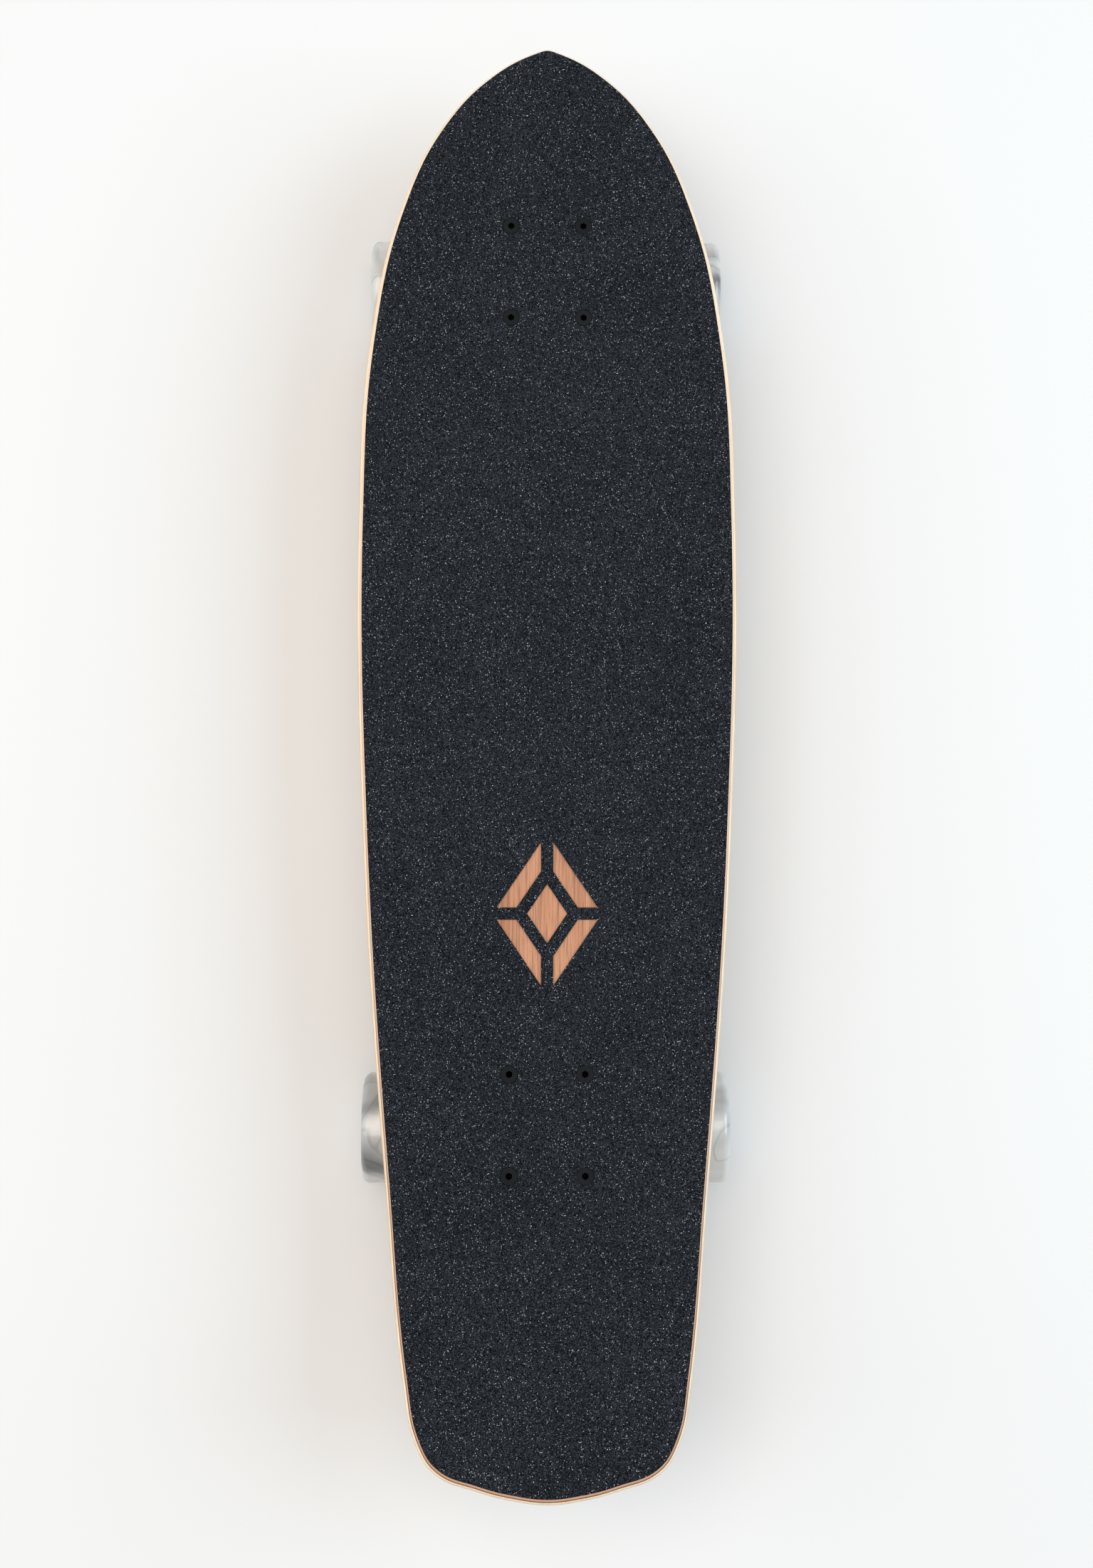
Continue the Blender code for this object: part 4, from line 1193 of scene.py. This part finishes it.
def makeCup():
    inner = hanger["stemRadius"] + gap
    radius, top = baseplate["cupRadius"], inner + cup["floor"]
    mouth = -baseplate["cupMouth"] - gap
    end = mouth - cup["flange"]
    profile = [(0, top), (radius, top), (radius, mouth), (cup["flangeRadius"], mouth),
               (cup["flangeRadius"], end), (inner, end)]
    profile += reversed(arcPoints((0, 0), inner, 90, 0, 8))
    return onPivot(roundEdges(turnProfile("pivotCup", profile, 48), cup["rounding"], 2))


axle = {"radius": 0.004, "length": 0.206, "threadStart": 0.0935, "pitch": 0.00106}


def makeAxle():
    radius, half = axle["radius"], axle["length"] / 2
    start = axle["threadStart"]
    rings = threaded(radius, half - 0.0008, start, axle["pitch"])
    right = [(radius - 0.0006, half)] + rings + [(radius, start)]
    profile = [(0, half)] + right + mirrored(right) + [(0, -half)]
    return onAxle(turnProfile("axleRod", profile, 40))


def makeTruck():
    bushings = makeBushings()
    nut = hexNut("kingpinNut", kingpin["nutRadius"], kingpin["nutHeight"], kingpinHole)
    # name, piece, finish, body, slot, CAD node
    return [
        ("riserPad", makeRiser(), riserRubber, "deck", "riser", "riser_pad"),
        ("baseplate", makeBaseplate(), castMetal, "deck", "cast_metal", "baseplate"),
        ("kingpin", makeKingpin(), zincSteel, "deck", "steel", "kingpin"),
        ("upperWasher", onKingpin(makeWasher(), upperWasherAt), zincSteel, "deck", "steel",
         "upper_washer"),
        ("lowerWasher", onKingpin(makeWasher(), lowerWasherAt), zincSteel, "deck", "steel",
         "lower_washer"),
        ("kingpinNut", onKingpin(nut, nutAt), zincSteel, "deck", "steel", "kingpin_nut"),
        ("pivotCup", makeCup(), cupUrethane, "deck", "pivot_cup", "pivot_cup"),
        ("boardsideBushing", bushings[0], cloudyBushing, None, "bushing", "boardside_bushing"),
        ("roadsideBushing", bushings[1], cloudyBushing, None, "bushing", "roadside_bushing"),
        ("hanger", makeHanger(), castMetal, "hanger", "cast_metal", "hanger"),
        ("axle", makeAxle(), zincSteel, "hanger", "steel", "axle"),
    ]


def placeTruck(piece, end):
    turn = (0, 0, math.pi if end == "rear" else 0)
    return setDown(piece, turn, (0, plateY[end], plateTop))


def onBoard(point, end):
    # a point of the truck, in the CAD's frame
    sign = -1 if end == "rear" else 1
    return (sign * point.x, plateY[end] + sign * point.y, plateTop + point.z)


def setTrucks():
    patterns = makeTruck()
    for end in ends:
        for name, pattern, finish, body, slotName, node in patterns:
            piece = placeTruck(copyOf(pattern, name + end.capitalize()), end)
            rider = end + "_hanger" if body == "hanger" else body
            finishPiece(piece, finish, rider, slotName, f"{end}_{node}")
            if name == "boardsideBushing":
                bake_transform(piece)
            elif name == "roadsideBushing":
                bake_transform(piece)
    for row in patterns:
        bpy.data.objects.remove(row[1])


setTrucks()
print("trucks hung")


# wheels and bearings, modelled once about Z

wheel = {
    "radius": 0.031,
    "half": 0.021,
    "lipRadius": 0.0042,
    "faceRadius": 0.0235,
    "hubRadius": 0.0140,
    "hubFace": 0.0132,
    # from the hub's corner out, then from the face's corner in
    "dishRoot": ((0.0005, 0.0004), (0.0016, 0.0018), (0.0035, 0.0040)),
    "dishRim": ((0.0032, 0.0020), (0.0014, 0.0007), (0, 0.0001)),
    "seatRadius": 0.01115,
    "seatFloor": 0.00485,
    "coreBore": 0.010,
    "rounding": 0.0003,
    "fromMiddle": 0.0825,
}

bearing = {
    "radius": 0.011,
    "width": 0.007,
    "start": 0.005,
    "shieldBore": 0.0063,
    "ringWidth": 0.0016,
    # the groove between ring and shield, in from the ring and down from the face
    "groove": ((0, 0), (0.0001, 0.0004), (0.0005, 0.0005), (0.0009, 0.0003)),
}
sleeve = {"race": 0.006, "spacer": 0.0052, "washer": 0.0059, "bore": 0.00415, "half": 0.0129}
axleNut = {"radius": 0.0075, "height": 0.0068}


def makeWheel():
    lip, side = wheel["lipRadius"], wheel["half"]
    hub, hubFace, seat = wheel["hubRadius"], wheel["hubFace"], wheel["seatRadius"]
    outer = arcPoints((wheel["radius"] - lip, side - lip), lip, 90, 0, 10)
    outer[-1] = (wheel["radius"], side - lip)
    tread = outer + mirrored(outer)
    bore = [(wheel["coreBore"], wheel["seatFloor"]), (seat, wheel["seatFloor"]), (seat, hubFace),
            (hub, hubFace)]
    bore += [(hub + r, hubFace + z) for r, z in wheel["dishRoot"]]
    bore += [(wheel["faceRadius"] - r, side - z) for r, z in wheel["dishRim"]]
    inner = mirrored(bore) + bore
    return roundEdges(turnProfile("wheelPattern", tread + inner, 112), wheel["rounding"], 2)


def makeBearing():
    radius, width, bore = bearing["radius"], bearing["width"], bearing["shieldBore"]
    step = radius - bearing["ringWidth"]
    face = [(radius, width)] + [(step - r, width - z) for r, z in bearing["groove"]]
    face += [(bore + 0.0006, width - 0.0004), (bore, width - 0.0005)]
    profile = face + [(r, width - z) for r, z in reversed(face)]
    return roundEdges(turnProfile("bearingPattern", profile, 64), 0.00015, 2)


def makeSleeve():
    outer = bearing["start"] + bearing["width"]
    half = [(sleeve["washer"], sleeve["half"]), (sleeve["washer"], outer + 0.0001),
            (sleeve["race"] - 0.0003, outer), (sleeve["race"], outer - 0.0003),
            (sleeve["race"], bearing["start"]), (sleeve["spacer"], bearing["start"])]
    profile = half + mirrored(half)
    profile += [(sleeve["bore"], -sleeve["half"]), (sleeve["bore"], sleeve["half"])]
    return turnProfile("sleevePattern", profile, 48)


def setWheels():
    patterns = {"wheel": makeWheel(), "bearing": makeBearing(), "sleeve": makeSleeve(),
                "nut": hexNut("nutPattern", axleNut["radius"], axleNut["height"], sleeve["bore"])}
    # pattern, name, place along the axle, turned round or not, finish, slot, CAD node
    rows = [
        ("wheel", "wheel", 0, 0, urethane, "urethane", "wheel"),
        ("bearing", "outerBearing", bearing["start"], 0, bearingSteel, "bearing", "bearing_outer"),
        ("bearing", "innerBearing", -bearing["start"], 1, bearingSteel, "bearing", "bearing_inner"),
        ("sleeve", "innerSleeve", 0, 0, zincSteel, "steel", "inner_sleeve"),
        ("nut", "axleNut", sleeve["half"] + gap, 1, zincSteel, "steel", "axle_nut"),
    ]
    for end in ends:
        centre = onBoard(axlePlace, end)
        for side, sign in (("left", -1), ("right", 1)):
            place = Vector((sign * wheel["fromMiddle"], centre[1], centre[2]))
            node, tail = f"{end}_{side}", end.capitalize() + side.capitalize()
            for pattern, name, along, flipped, finish, slotName, cadNode in rows:
                piece = copyOf(patterns[pattern], name + tail)
                facing = -sign if flipped else sign
                piece.rotation_euler = (0, facing * math.pi / 2, 0)
                piece.location = place + Vector((sign * along, 0, 0))
                body = node + "_wheel" if pattern in ("wheel", "bearing") else end + "_hanger"
                finishPiece(piece, finish, body, slotName, f"{node}_{cadNode}")
    for pattern in patterns.values():
        bpy.data.objects.remove(pattern)


setWheels()
print("wheels on")
